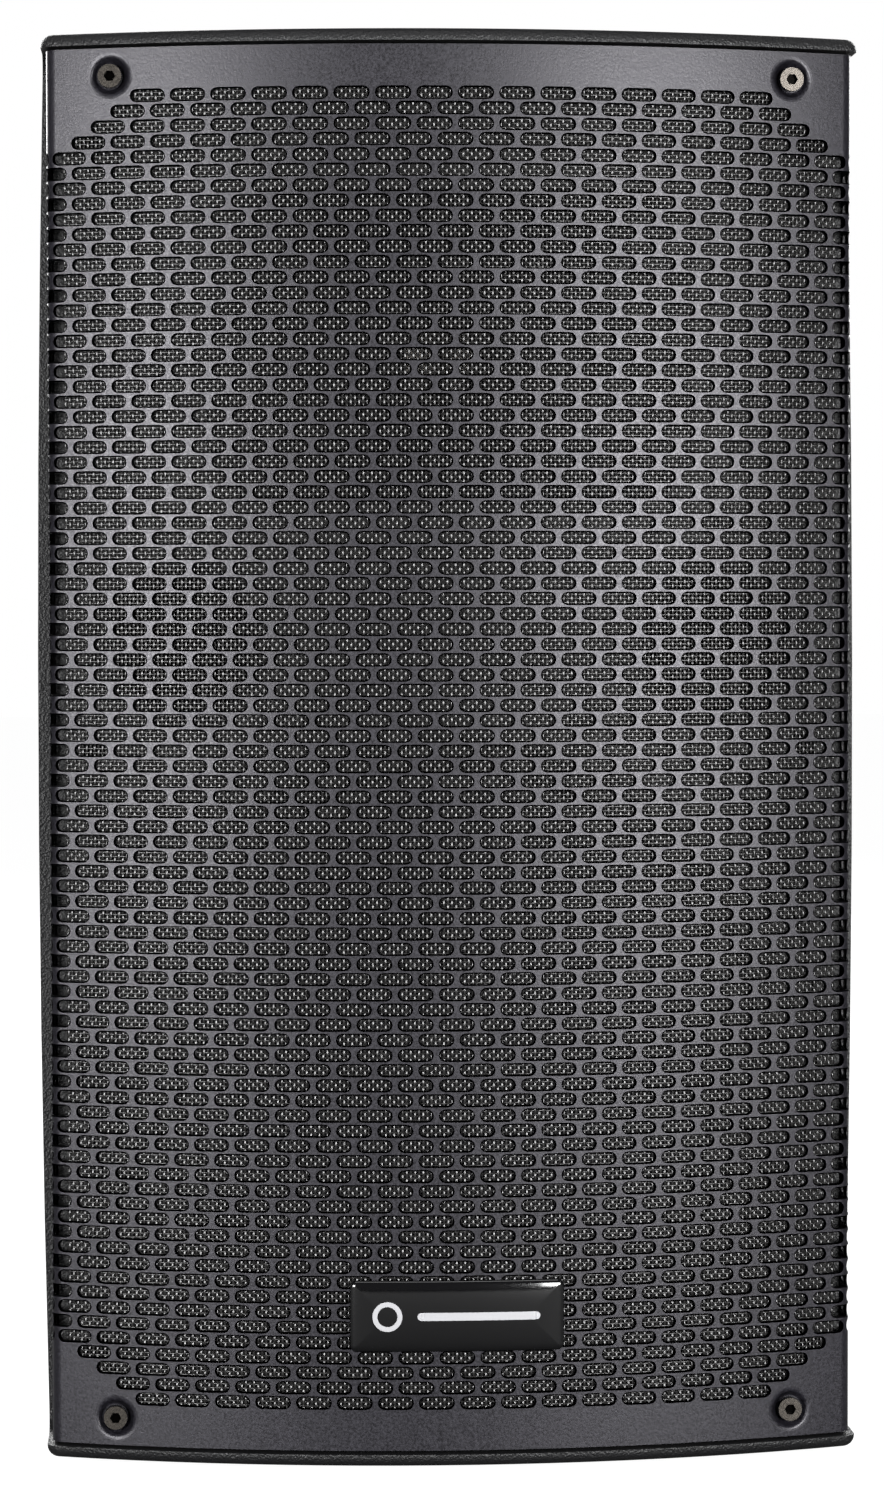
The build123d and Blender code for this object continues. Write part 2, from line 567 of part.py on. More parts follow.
# ---------------------------------------------------------------- horn and its driver
def horn_flare(grow, first, last):
    """The waveguide's inside, or its outside when grow is the skin. t runs from mouth to throat."""
    sections = []
    for t in (0.0, 0.16, 0.34, 0.56, 0.78, 1.0):
        depth = first + (last - first) * t
        width = 2 * (THROAT_RADIUS + (MOUTH_WIDTH / 2 - THROAT_RADIUS) * (1 - t) ** 1.6 + grow)
        height = 2 * (THROAT_RADIUS + (MOUTH_HEIGHT / 2 - THROAT_RADIUS) * (1 - t) ** 1.4 + grow)
        corner = min(width, height) / 2 * (0.42 + 0.56 * t)
        sections.append(Pos(0, BAFFLE + depth, HORN_Z) * (Plane.XZ * RectangleRounded(width, height, corner)))
    return loft(sections)


def horn_bell():
    flange = slab_y(HORN_WIDTH, HORN_HEIGHT, 16, BAFFLE - 3, BAFFLE, 0, HORN_Z)
    body = flange + horn_flare(HORN_SKIN, -3, HORN_DEPTH)
    body += rod_y(30, BAFFLE + HORN_DEPTH - 6, BAFFLE + HORN_DEPTH, 0, HORN_Z)
    body -= horn_flare(0, -3.001, HORN_DEPTH + 0.001)
    for x, z in HORN_SCREWS:
        body -= rod_y(2.3, BAFFLE - 5, BAFFLE + 1, x, z)
    return body


def horn_screws():
    return [socket_screw(3.5, 2.5, 2, BAFFLE - 3, 13, x, z) for x, z in HORN_SCREWS]


def hf(points):
    """Turned about the horn's axis from (radius, distance behind the horn's throat)."""
    return turned([(r, BAFFLE + HORN_DEPTH + t) for r, t in points], 0, HORN_Z)


HF_MAGNET_BACK = 24.0
HF_PLATE_BACK = 29.0
HF_POLE = 22.0


def hf_pole_piece():
    """Front plate and pole with the flared bore of the phase plug."""
    throat, rim = THROAT_RADIUS, HF_RADIUS
    return hf([(throat, 0), (rim, 0), (rim, 8), (HF_POLE, 8), (HF_POLE, HF_PLATE_BACK), (throat + 4, HF_PLATE_BACK)])


def hf_magnet():
    return hf([(HF_POLE + 6, 8), (HF_RADIUS, 8), (HF_RADIUS, HF_MAGNET_BACK), (HF_POLE + 6, HF_MAGNET_BACK)])


def hf_top_plate():
    bore, rim = HF_POLE + 1.6, HF_RADIUS
    return hf([(bore, HF_MAGNET_BACK), (rim, HF_MAGNET_BACK), (rim, HF_PLATE_BACK), (bore, HF_PLATE_BACK)])


def hf_diaphragm():
    """Thin dome with its coil in the gap and a flat edge held clear of the plate."""
    coil, skin = HF_POLE + 0.8, 0.5
    t = HF_PLATE_BACK + 0.6
    ring = hf([(coil - skin, HF_PLATE_BACK - 4), (coil, HF_PLATE_BACK - 4), (coil, t), (HF_POLE + 5, t),
               (HF_POLE + 5, t + skin), (coil - skin, t + skin)])
    return ring + dome(coil - skin / 2, 7.0, skin, BAFFLE + HORN_DEPTH + t + skin / 4, HORN_Z, 1)


def hf_rear_cap():
    rim, t = HF_POLE + 12.0, HF_PLATE_BACK
    inner = HF_POLE + 6.0
    return hf([(inner, t), (rim, t), (rim, t + 12), (rim - 6, t + 16), (0, t + 16), (0, t + 13), (inner - 3, t + 13),
               (inner, t + 10)])


def port_tubes():
    """Glued-in bass ports with a flared lip in front of the baffle."""
    r, y = PORT_RADIUS, BAFFLE
    outline = [(r + 3, y - 3), (r + 5, y - 2), (r + 5, y), (r + 2, y), (r + 2, y + PORT_LENGTH),
               (r, y + PORT_LENGTH), (r, y + 4), (r + 1, y)]
    return [turned(outline, x, z) for x, z in PORTS]


def damping_pads():
    """Polyester wadding on the side walls."""
    outer = CORNER_X - WALL - GAP
    low, high = BOTTOM + 57.0, WAIST - 18.0
    y0, y1 = PARTING + TONGUE + 2, SHOULDER - 4
    return [box(side * (outer - 14), side * outer, y0, y1, low, high) for side in (-1, 1)]


# ---------------------------------------------------------------- amplifier panel
# places on the panel, seen from the rear: (x, z)
KNOB_RADIUS = 7.0
KNOBS = {
    "knob_treble": (-24.0, AMP_Z + 126.0),
    "knob_bass": (24.0, AMP_Z + 126.0),
    "knob_level_1": (-46.0, AMP_Z + 95.0),
    "knob_level_2": (0.0, AMP_Z + 95.0),
    "knob_master": (46.0, AMP_Z + 95.0),
}
SOCKETS = [(-46.0, AMP_Z + 48.0), (0.0, AMP_Z + 48.0)]
LINK = (46.0, AMP_Z + 48.0)
BUTTONS = [(-46.0, AMP_Z + 18.0), (0.0, AMP_Z + 18.0)]
LEDS = [(x, AMP_Z + 142.0) for x in (-12.0, 0.0, 12.0)]
INLET = (-36.0, AMP_Z - 114.0)
FUSE = (INLET[0], INLET[1] - 18.0)
ROCKER = (44.0, AMP_Z - 126.0)
SINK_LOW = AMP_Z - 90.0
SINK_HIGH = AMP_Z
SOCKET_BODY = 12.0           # radius behind the panel
SOCKET_BORE = 9.6
SOCKET_BACK = PANEL_BACK - 23.0
BOARD = 1.6
BOARD_BACK = PANEL_BACK - 11.4 - BOARD       # face away from the panel
SPINDLE = 3.0
BUTTON_RADIUS = 3.4


def amp_panel():
    plate = amp_slab(AMP_WIDTH / 2 - 1, AMP_HEIGHT / 2 - 1, 5, PANEL_BACK, PANEL_FACE)
    for x, z in KNOBS.values():
        plate -= rod_y(SPINDLE + GAP, PANEL_BACK - 1, PANEL_FACE + 1, x, z)
    for x, z in SOCKETS + [LINK]:
        plate -= rod_y(SOCKET_BODY + FIT, PANEL_BACK - 1, PANEL_FACE + 1, x, z)
        for dx, dz in ((-9.5, 12.0), (9.5, -12.0)):
            plate -= rod_y(1.5 + FIT, PANEL_BACK - 1, PANEL_FACE + 1, x + dx, z + dz)
    for x, z in SOCKETS:
        plate -= box(x - TAB_X, x + TAB_X, PANEL_BACK - 1, PANEL_FACE + 1, z, z + TAB_TOP)
    for x, z in BUTTONS:
        plate -= rod_y(BUTTON_RADIUS + GAP, PANEL_BACK - 1, PANEL_FACE + 1, x, z)
    for x, z in LEDS:
        plate -= rod_y(1.5 + FIT, PANEL_BACK - 1, PANEL_FACE + 1, x, z)
    for x, z in PANEL_SCREWS:
        plate -= rod_y(2.2, PANEL_BACK - 1, PANEL_FACE + 1, x, z)
    plate -= slab_y(INLET_WIDTH + FIT, INLET_HEIGHT + FIT, 1, PANEL_BACK - 1, PANEL_FACE + 1, INLET[0], INLET_MID)
    plate -= box(ROCKER[0] - 9.95, ROCKER[0] + 9.95, PANEL_BACK - 1, PANEL_FACE + 1, ROCKER[1] - 13.5, ROCKER[1] + 13.5)
    return plate


def amp_gasket():
    ring = amp_slab(AMP_WIDTH / 2 - 1, AMP_HEIGHT / 2 - 1, 5, AMP_FLANGE, PANEL_BACK)
    ring -= amp_slab(AMP_OPENING_X, AMP_OPENING_Z, 5, AMP_FLANGE - 1, PANEL_BACK + 1)
    for x, z in PANEL_SCREWS:
        ring -= rod_y(2.2, AMP_FLANGE - 1, PANEL_BACK + 1, x, z)
    return ring


def amp_panel_screws():
    return [socket_screw(3.6, 2.4, 2, PANEL_FACE, 13, x, z, facing=1) for x, z in PANEL_SCREWS]


def heatsink():
    """Extruded aluminium, its upright fins standing back from a base plate."""
    half, fins = AMP_OPENING_X - 6.0, 13
    body = box(-half, half, PANEL_FACE, PANEL_FACE + 4, SINK_LOW, SINK_HIGH)
    for i in range(fins):
        x = -half + 1 + (2 * half - 2) * i / (fins - 1)
        body += box(x - 0.9, x + 0.9, PANEL_FACE + 3, REAR - 3, SINK_LOW, SINK_HIGH)
    return body


def knob(x, z):
    """A turned cap with a grip taper, a pointer groove, and its spindle going into the control."""
    y, r = PANEL_FACE + 1.0, KNOB_RADIUS
    cap = turned([(0, y), (r, y), (r, y + 3), (r - 0.8, y + 12), (r - 1.6, y + 13), (0, y + 13)], x, z)
    for i in range(12):
        cap -= Pos(x, y + 9.2, z) * Rot(0, 30 * i, 0) * Pos(r + 0.2, 0, 0) * Rot(90, 0, 0) * Cylinder(0.9, 10)
    cap -= box(x - 0.5, x + 0.5, y + 12, y + 14, z + 1, z + r)
    return cap + rod_y(SPINDLE, PANEL_BACK - 8, y + 1, x, z)


def pot_bodies():
    bodies = []
    for x, z in KNOBS.values():
        body = box(x - 8, x + 8, BOARD_BACK + BOARD, PANEL_BACK, z - 8, z + 8)
        bodies.append(body - rod_y(SPINDLE + RUNNING, PANEL_BACK - 8.4, PANEL_BACK + 1, x, z))
    return bodies


def chassis_socket(x, z):
    """Panel socket: square-cornered flange, round body behind the panel, open bore."""
    body = slab_y(26, 31, 3, PANEL_FACE, PANEL_FACE + 2.2, x, z)
    body += rod_y(SOCKET_BODY, SOCKET_BACK, PANEL_FACE + 1, x, z)
    body -= rod_y(SOCKET_BORE, SOCKET_BACK + 3, PANEL_FACE + 5, x, z)
    for dx, dz in ((-9.5, 12.0), (9.5, -12.0)):
        body -= rod_y(1.6, PANEL_FACE - 1, PANEL_FACE + 5, x + dx, z + dz)
    return body


def combo_socket(x, z):
    """Takes an XLR plug round a 6.35 mm jack hole in its middle block."""
    body = chassis_socket(x, z)
    post = rod_y(6.0, SOCKET_BACK + 1, PANEL_FACE - 6, x, z)
    body += post - rod_y(3.25, SOCKET_BACK + 3, PANEL_FACE, x, z)
    return body - box(x - TAB_X, x + TAB_X, PANEL_FACE - 9, PANEL_FACE + 5, z + SOCKET_BORE - 1, z + TAB_TOP)


TAB_X = 4.3
TAB_TOP = 13.0


def latch_tab(x, z):
    """Push tab that lets the plug go; it slides into the socket above its bore."""
    wide, low, high = TAB_X - GAP, z + SOCKET_BORE + 0.5, z + TAB_TOP - GAP
    return box(x - wide, x + wide, PANEL_FACE - 5, PANEL_FACE + 4.5, low, high)


def link_socket():
    """Male output socket with its three pins."""
    x, z = LINK
    body = chassis_socket(x, z)
    for dx, dz in ((-3.2, 1.6), (3.2, 1.6), (0.0, -3.4)):
        body += rod_y(1.2, SOCKET_BACK + 2, PANEL_FACE - 3, x + dx, z + dz)
    return body


def connector_screws():
    places = [(x + dx, z + dz) for x, z in SOCKETS + [LINK] for dx, dz in ((-9.5, 12.0), (9.5, -12.0))]
    return [socket_screw(2.7, 1.6, 1.5, PANEL_FACE + 2.2, 8, x, z, facing=1) for x, z in places]


def input_board():
    """Controls' circuit board with the two switch housings, cut out round the sockets."""
    half = AMP_OPENING_X - 2
    board = box(-half, half, BOARD_BACK, BOARD_BACK + BOARD, AMP_Z + 6, AMP_Z + 144)
    for x, z in SOCKETS + [LINK]:
        board -= rod_y(SOCKET_BODY + 1, BOARD_BACK - 1, BOARD_BACK + 5, x, z)
    for x, z in BUTTONS:
        housing = box(x - 5, x + 5, BOARD_BACK + BOARD / 2, PANEL_BACK - 3, z - 5, z + 5)
        board += housing - rod_y(BUTTON_RADIUS + RUNNING, BOARD_BACK + BOARD + 1, PANEL_BACK, x, z)
    return board


def line_button(x, z):
    return fillet(
        rod_y(BUTTON_RADIUS, BOARD_BACK + BOARD + 4, PANEL_FACE + 3.5, x, z).edges().sort_by(Axis.Y)[-1], 0.5)


def power_board():
    half = AMP_OPENING_X - 4
    return box(-half, half, BOARD_BACK, BOARD_BACK + BOARD, SINK_LOW, SINK_HIGH)


def reservoir_capacitors():
    places = [(x, SINK_LOW + 24 + row * 42) for x in (-36.0, 0.0, 36.0) for row in (0, 1)]
    return [rod_y(12.5, BOARD_BACK - 35, BOARD_BACK, x, z) for x, z in places]


def status_leds():
    return [rod_y(1.5, BOARD_BACK + BOARD, PANEL_FACE + 1.2, x, z) for x, z in LEDS]


# mains inlet, fuse drawer and switch
INLET_WIDTH = 27.8
INLET_HEIGHT = 41.0
INLET_MID = INLET[1] - 7.0
PIN_SPACING = 7.0
FUSE_WIDTH = 20.0
FUSE_HEIGHT = 8.0
ROCKER_PIVOT = PANEL_FACE - 3.0
ROCKER_HALF = 8.6
ROCKER_TILT = 10.0


def mains_inlet():
    """Moulded three-pin inlet with its fuse drawer's pocket below."""
    x, z = INLET
    body = slab_y(36, 49, 3, PANEL_FACE, PANEL_FACE + 2.4, x, INLET_MID)
    body += slab_y(INLET_WIDTH, INLET_HEIGHT, 1, PANEL_BACK - 22, PANEL_FACE + 1, x, INLET_MID)
    body -= slab_y(24.6, 16.9, 2, PANEL_FACE - 16, PANEL_FACE + 5, x, z)
    body -= box(x - FUSE_WIDTH / 2 - RUNNING, x + FUSE_WIDTH / 2 + RUNNING, PANEL_FACE - 18.2, PANEL_FACE + 5,
                FUSE[1] - FUSE_HEIGHT / 2 - RUNNING, FUSE[1] + FUSE_HEIGHT / 2 + RUNNING)
    for dx, dz in INLET_PINS:
        body -= box(x + dx - 1 - GLUE, x + dx + 1 + GLUE, PANEL_BACK - 30, PANEL_FACE,
                    z + dz - 2 - GLUE, z + dz + 2 + GLUE)
    return body


INLET_PINS = [(-PIN_SPACING, -2.0), (PIN_SPACING, -2.0), (0.0, 2.0)]


def inlet_pins():
    x, z = INLET
    return [box(x + dx - 1, x + dx + 1, PANEL_BACK - 28, PANEL_FACE - 2, z + dz - 2, z + dz + 2)
            for dx, dz in INLET_PINS]


def fuse_drawer():
    x, z = FUSE
    drawer = box(x - FUSE_WIDTH / 2, x + FUSE_WIDTH / 2, PANEL_FACE - 18, PANEL_FACE + 3.6,
                 z - FUSE_HEIGHT / 2, z + FUSE_HEIGHT / 2)
    drawer -= box(x - FUSE_WIDTH / 2 + 2, x + FUSE_WIDTH / 2 - 2, PANEL_FACE - 16, PANEL_FACE - 2, z - 2.6, z + 9)
    return drawer - box(x - 5, x + 5, PANEL_FACE + 2.6, PANEL_FACE + 5, z - 1, z + 9)


def rocker_frame():
    x, z = ROCKER
    body = slab_y(25, 32, 2, PANEL_FACE, PANEL_FACE + 1.8, x, z)
    body += box(x - 9.85, x + 9.85, PANEL_BACK - 14, PANEL_FACE + 1, z - 13.4, z + 13.4)
    body -= box(x - ROCKER_HALF - GAP, x + ROCKER_HALF + GAP, PANEL_BACK - 12, PANEL_FACE + 5, z - 12.3, z + 12.3)
    return body - rod_x(1.5 + RUNNING, x - 11, x + 11, ROCKER_PIVOT, z)


def rocker_button():
    """See-saw switch on two side pins, shown with its lower half pressed in."""
    x, z = ROCKER
    outline = [(5.5, -10.8), (2.8, 0.0), (5.5, 10.8), (0.0, 9.6), (-6.0, 4.0), (-6.0, -4.0), (0.0, -9.6)]
    face = Plane.YZ * make_face(Polyline(*outline, close=True))
    body = extrude(face, ROCKER_HALF, both=True) + rod_x(1.5, -9.6, 9.6)
    return Pos(x, ROCKER_PIVOT, z) * Rot(ROCKER_TILT, 0, 0) * body


# ---------------------------------------------------------------- inside floor, underside and top
def mains_transformer():
    """Toroidal transformer lying on the cabinet's floor."""
    radius, floor = 36.0, BOTTOM + WALL
    y = REAR - WALL - radius - 4.0
    return turned_up([(12, floor), (radius, floor), (radius, floor + 38), (12, floor + 38)], 0, y)


def pole_cup():
    low = BOTTOM - CUP_PLATE
    r, high = CUP_RADIUS, low + POLE_DEPTH + 3
    cup = turned_up([
        (POLE_RADIUS + 1, low), (CUP_FLANGE, low), (CUP_FLANGE, BOTTOM), (r, BOTTOM), (r, high),
        (0, high), (0, high - 3), (POLE_RADIUS, high - 3), (POLE_RADIUS, low + 1),
    ], 0, POLE_Y)
    for x, y in CUP_SCREWS:
        cup -= countersunk_hole(x, y, low, -1)
    return cup


def countersunk_hole(x, y, face, facing):
    """Clears a countersunk M4. facing is +1 where its head looks up."""
    wide = 4.0 + GAP
    outline = [(0, face + facing), (wide, face + facing), (wide, face), (2.2, face - facing * FLAT_HEAD),
               (2.2, face - facing * 30), (0, face - facing * 30)]
    return turned_up(outline, x, y)


def countersunk_screws():
    """The stand socket's four from below and the handle's four from above."""
    places = [(x, y, BOTTOM - CUP_PLATE, -1) for x, y in CUP_SCREWS]
    places += [(x, y, HANDLE_SCREW_SEAT, 1) for x, y in HANDLE_SCREWS]
    screws = []
    for x, y, face, facing in places:
        neck, tip = face - facing * FLAT_HEAD, face - facing * FLAT_SCREW
        screws.append(turned_up([(0, face), (4, face), (2, neck), (2, tip), (0, tip)], x, y))
    return screws


def handle_bar():
    """Rubber-covered bar across the recess, screwed to a ledge at each end."""
    half = HANDLE_LENGTH / 2 - 1.0
    bar = box(-half, half, HANDLE_Y - 13, HANDLE_Y + 13, HANDLE_LEDGE_TOP, TOP - 0.5)
    grip = half - HANDLE_LEDGE
    bar -= box(-grip, grip, HANDLE_Y - 20, HANDLE_Y + 20, HANDLE_LEDGE_TOP - 1, HANDLE_LEDGE_TOP + 4)
    along = bar.edges().filter_by(Axis.X).filter_by(lambda e: e.center().Z > TOP - 1)
    bar = fillet(along, 5.0)
    under = bar.edges().filter_by(Axis.X).filter_by(lambda e: abs(e.center().Z - HANDLE_LEDGE_TOP - 4) < 0.1)
    bar = fillet(under, 4.0)
    for x, y in HANDLE_SCREWS:
        bar -= rod_z(4.0 + GAP, HANDLE_SCREW_SEAT, TOP, x, y)
        bar -= countersunk_hole(x, y, HANDLE_SCREW_SEAT, 1)
    return bar


def fly_inserts():
    inserts = []
    for x, y in FLY_POINTS:
        for low in (TOP - FLY_LENGTH, BOTTOM):
            tube = rod_z(5.5, low, low + FLY_LENGTH, x, y)
            inserts.append(tube - rod_z(FLY_THREAD, low - 1, low + FLY_LENGTH + 1, x, y))
    return inserts


# ---------------------------------------------------------------- every piece, one file each
NODES = {
    "front_baffle": front_moulding(),
    "rear_shell": rear_moulding(),
    "shell_screws": shell_screws(),
    "grille": grille(),
    "grille_mesh": grille_mesh(),
    "grille_screws": grille_screws(),
    "grille_inserts": grille_inserts(),
    "badge": badge(),
    "woofer_gasket": woofer_gasket(),
    "woofer_basket": woofer_basket(),
    "woofer_screws": woofer_screws(),
    "woofer_surround": woofer_surround(),
    "woofer_cone": woofer_cone(),
    "woofer_dust_cap": woofer_dust_cap(),
    "woofer_voice_coil": woofer_voice_coil(),
    "woofer_spider": woofer_spider(),
    "woofer_top_plate": woofer_top_plate(),
    "woofer_magnet": woofer_magnet(),
    "woofer_back_plate": woofer_back_plate(),
    "horn": horn_bell(),
    "horn_screws": horn_screws(),
    "hf_pole_piece": hf_pole_piece(),
    "hf_magnet": hf_magnet(),
    "hf_top_plate": hf_top_plate(),
    "hf_diaphragm": hf_diaphragm(),
    "hf_rear_cap": hf_rear_cap(),
    "port_tubes": port_tubes(),
    "damping_pads": damping_pads(),
    "amp_panel": amp_panel(),
    "amp_gasket": amp_gasket(),
    "amp_panel_screws": amp_panel_screws(),
    "heatsink": heatsink(),
    "power_board": power_board(),
    "reservoir_capacitors": reservoir_capacitors(),
    "input_board": input_board(),
    "pot_bodies": pot_bodies(),
    "combo_sockets": [combo_socket(x, z) for x, z in SOCKETS],
    "link_socket": link_socket(),
    "connector_screws": connector_screws(),
    "mains_inlet": mains_inlet(),
    "inlet_pins": inlet_pins(),
    "fuse_drawer": fuse_drawer(),
    "rocker_frame": rocker_frame(),
    "rocker_button": rocker_button(),
    "status_leds": status_leds(),
    "mains_transformer": mains_transformer(),
    "pole_cup": pole_cup(),
    "countersunk_screws": countersunk_screws(),
    "handle_bar": handle_bar(),
    "rubber_feet": rubber_feet(),
    "fly_inserts": fly_inserts(),
}
for name, place in KNOBS.items():
    NODES[name] = knob(*place)
for number, place in enumerate(SOCKETS, 1):
    NODES[f"latch_tab_{number}"] = latch_tab(*place)
for number, place in enumerate(BUTTONS, 1):
    NODES[f"line_button_{number}"] = line_button(*place)

os.makedirs("parts", exist_ok=True)
for name, shape in NODES.items():
    whole = Compound(shape) if isinstance(shape, list) else shape
    export_step(whole, f"parts/{name}.step")
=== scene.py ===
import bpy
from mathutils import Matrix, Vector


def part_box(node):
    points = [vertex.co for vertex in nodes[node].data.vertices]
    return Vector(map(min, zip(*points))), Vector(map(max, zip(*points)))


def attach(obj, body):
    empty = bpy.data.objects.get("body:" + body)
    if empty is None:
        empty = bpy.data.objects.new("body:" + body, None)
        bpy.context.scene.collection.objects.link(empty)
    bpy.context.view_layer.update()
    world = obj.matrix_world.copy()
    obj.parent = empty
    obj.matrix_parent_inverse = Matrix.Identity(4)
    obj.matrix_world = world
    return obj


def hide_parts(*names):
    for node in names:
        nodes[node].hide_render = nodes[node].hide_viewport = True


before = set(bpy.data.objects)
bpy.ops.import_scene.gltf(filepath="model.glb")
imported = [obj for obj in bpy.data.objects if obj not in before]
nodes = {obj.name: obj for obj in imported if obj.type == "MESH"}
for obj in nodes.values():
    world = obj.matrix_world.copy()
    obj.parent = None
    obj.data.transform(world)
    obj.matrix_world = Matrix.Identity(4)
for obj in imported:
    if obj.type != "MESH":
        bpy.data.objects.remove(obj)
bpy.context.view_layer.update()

from math import asin, pi, radians, sin, sqrt

import bpy
import numpy as np
from mathutils.geometry import delaunay_2d_cdt

# ------------------------------------------------------------ CAMERA
# Straight on to the grille from about 1.6 m, a little to the left of the middle and above it,
# through a lens about twice a standard one's length, so the rims bow gently.
camera = bpy.data.objects.new("camera", bpy.data.cameras.new("camera"))
camera.location = (-0.09114, -1.61856, 0.30864)
camera.rotation_euler = (radians(87.877), radians(0.099), radians(-3.3205))
camera.data.lens = 102.91
camera.data.sensor_width = 36.0
bpy.context.scene.collection.objects.link(camera)
bpy.context.scene.camera = camera
bpy.context.scene.view_settings.view_transform = "Standard"


# ------------------------------------------------------------ FLOOR
# A sheet of white studio card, wide enough to fill the view, under an even white surround.
# The surround looks white but lights the object only dimly, as a dark studio with a white card does.
def linear(hex_colour):
    """An sRGB hex colour as the linear RGBA that a shader wants."""
    parts = [int(hex_colour[i:i + 2], 16) / 255 for i in (1, 3, 5)]
    return [c / 12.92 if c <= 0.04045 else ((c + 0.055) / 1.055) ** 2.4 for c in parts] + [1.0]


def add(tree, kind, sockets=None, **settings):
    """Adds a shader node. Settings are its attributes, and sockets take values or other nodes' outputs."""
    made = tree.nodes.new(kind)
    for name, value in settings.items():
        setattr(made, name, value)
    for name, value in (sockets or {}).items():
        if isinstance(value, bpy.types.NodeSocket):
            tree.links.new(value, made.inputs[name])
        else:
            made.inputs[name].default_value = value
    return made


def start(name):
    """A new material, its node tree, and its principled shader."""
    material = bpy.data.materials.new(name)
    material.use_nodes = True
    return material, material.node_tree, material.node_tree.nodes["Principled BSDF"]


def between(tree, amount, first, last):
    """The output of a mix of two sRGB hex colours."""
    mix = add(tree, "ShaderNodeMix", {"Factor": amount, "A": linear(first), "B": linear(last)},
              data_type="RGBA")
    return mix.outputs["Result"]


def build(name, points, faces, material):
    """A mesh object in the frame, from its points in metres and its faces."""
    mesh = bpy.data.meshes.new(name)
    mesh.from_pydata([tuple(p) for p in points], [], faces)
    mesh.polygons.foreach_set("use_smooth", [True] * len(mesh.polygons))
    mesh.materials.append(material)
    made = bpy.data.objects.new(name, mesh)
    bpy.context.scene.collection.objects.link(made)
    return made


card, tree, shader = start("white_card")
shader.inputs["Roughness"].default_value = 0.9
fibres = add(tree, "ShaderNodeTexNoise", {"Scale": 900.0, "Detail": 3.0})
tree.links.new(between(tree, fibres.outputs["Fac"], "#5c5c5c", "#666666"), shader.inputs["Base Color"])
seen = add(tree, "ShaderNodeLightPath")
white = add(tree, "ShaderNodeEmission", {"Color": linear("#ffffff"), "Strength": 0.97})
both = add(tree, "ShaderNodeAddShader")
tree.links.new(shader.outputs[0], both.inputs[0])
tree.links.new(white.outputs[0], both.inputs[1])
show = add(tree, "ShaderNodeMixShader", {"Fac": seen.outputs["Is Camera Ray"]})
tree.links.new(shader.outputs[0], show.inputs[1])
tree.links.new(both.outputs[0], show.inputs[2])
tree.links.new(show.outputs[0], tree.nodes["Material Output"].inputs["Surface"])
floor = build("studio_floor", [(-9, -9, 0), (9, -9, 0), (9, 9, 0), (-9, 9, 0)], [(0, 1, 2, 3)], card)

world = bpy.data.worlds.new("studio")
bpy.context.scene.world = world
world.use_nodes = True
tree = world.node_tree
seen = add(tree, "ShaderNodeLightPath")
level = add(tree, "ShaderNodeMix", {"Factor": seen.outputs["Is Camera Ray"], "A": [0.09, 0.09, 0.095, 1],
                                    "B": [1, 1, 1, 1]}, data_type="RGBA")
tree.links.new(level.outputs["Result"], tree.nodes["Background"].inputs["Color"])


# ------------------------------------------------------------ LIGHTS
# Soft boxes: one tall one each side of the camera, which draw the two broad bands down the rolled
# grille, a long one overhead for the rim and the screw dimples, and dim ones for the sides and back.
def soft_box(name, place, target, width, height, watts):
    light = bpy.data.lights.new(name, "AREA")
    light.shape = "RECTANGLE"
    light.size, light.size_y, light.energy = width, height, watts
    lamp = bpy.data.objects.new(name, light)
    lamp.location = place
    aim = bpy.data.objects.new(name + "_aim", None)
    aim.location = target
    for made in (lamp, aim):
        bpy.context.scene.collection.objects.link(made)
    follow = lamp.constraints.new("TRACK_TO")
    follow.target, follow.track_axis, follow.up_axis = aim, "TRACK_NEGATIVE_Z", "UP_Y"
    lamp.visible_camera = False


soft_box("key_left", (-1.16, -1.86, 0.38), (0, -0.1, 0.34), 0.75, 0.50, 38)
soft_box("key_right", (0.93, -1.94, 0.38), (0, -0.1, 0.34), 0.95, 0.50, 45)
soft_box("overhead", (0.0, -0.75, 1.75), (0, -0.1, 0.35), 1.4, 0.5, 5)
soft_box("side_left", (-1.6, 1.1, 1.9), (0, 0, 0.25), 1.6, 1.4, 5)
soft_box("side_right", (1.6, 1.1, 1.9), (0, 0, 0.25), 1.6, 1.4, 5)
soft_box("rear_left", (-1.0, 2.0, 1.1), (0, 0.1, 0.25), 1.4, 1.2, 56)
soft_box("rear_right", (1.2, 1.9, 0.9), (0, 0.1, 0.25), 1.2, 1.2, 42)


# ------------------------------------------------------------ GRILLE
# 1.2 mm mild steel, punched with staggered 12 x 4 mm slots while flat, with a dimple pressed at each
# screw, then rolled to a 408 mm radius and folded back along both sides. Powder coated satin charcoal.
MM = 0.001
grille_low, grille_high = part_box("grille")
SHEET = 1.2 * MM
ROLL = 408.0 * MM
FOLD = 5.0 * MM
roll_y = grille_low[1] + ROLL
fold_x = grille_high[0] - FOLD
fold_turn = asin(fold_x / (ROLL - FOLD))
fold_y = roll_y - sqrt((ROLL - FOLD) ** 2 - fold_x ** 2)
rolled_run = ROLL * fold_turn
folded_run = rolled_run + FOLD * (pi / 2 - fold_turn)
sheet_run = folded_run + grille_high[1] - fold_y
mid_z = (grille_low[2] + grille_high[2]) / 2


def on_sheet(run, depth):
    """Where points of the flat sheet lie once it is rolled and folded, and which way its face looks there."""
    side, run = np.sign(run), np.abs(run)
    rolled = run <= rolled_run
    folded = np.minimum(run - rolled_run, folded_run - rolled_run)
    turn = np.where(rolled, run / ROLL, fold_turn + folded / FOLD)
    bend = np.where(rolled, ROLL, FOLD) - depth
    x = np.where(rolled, 0, fold_x) + bend * np.sin(turn)
    y = np.where(rolled, roll_y, fold_y) - bend * np.cos(turn) + np.maximum(run - folded_run, 0)
    return side * x, y, side * np.sin(turn), -np.cos(turn)


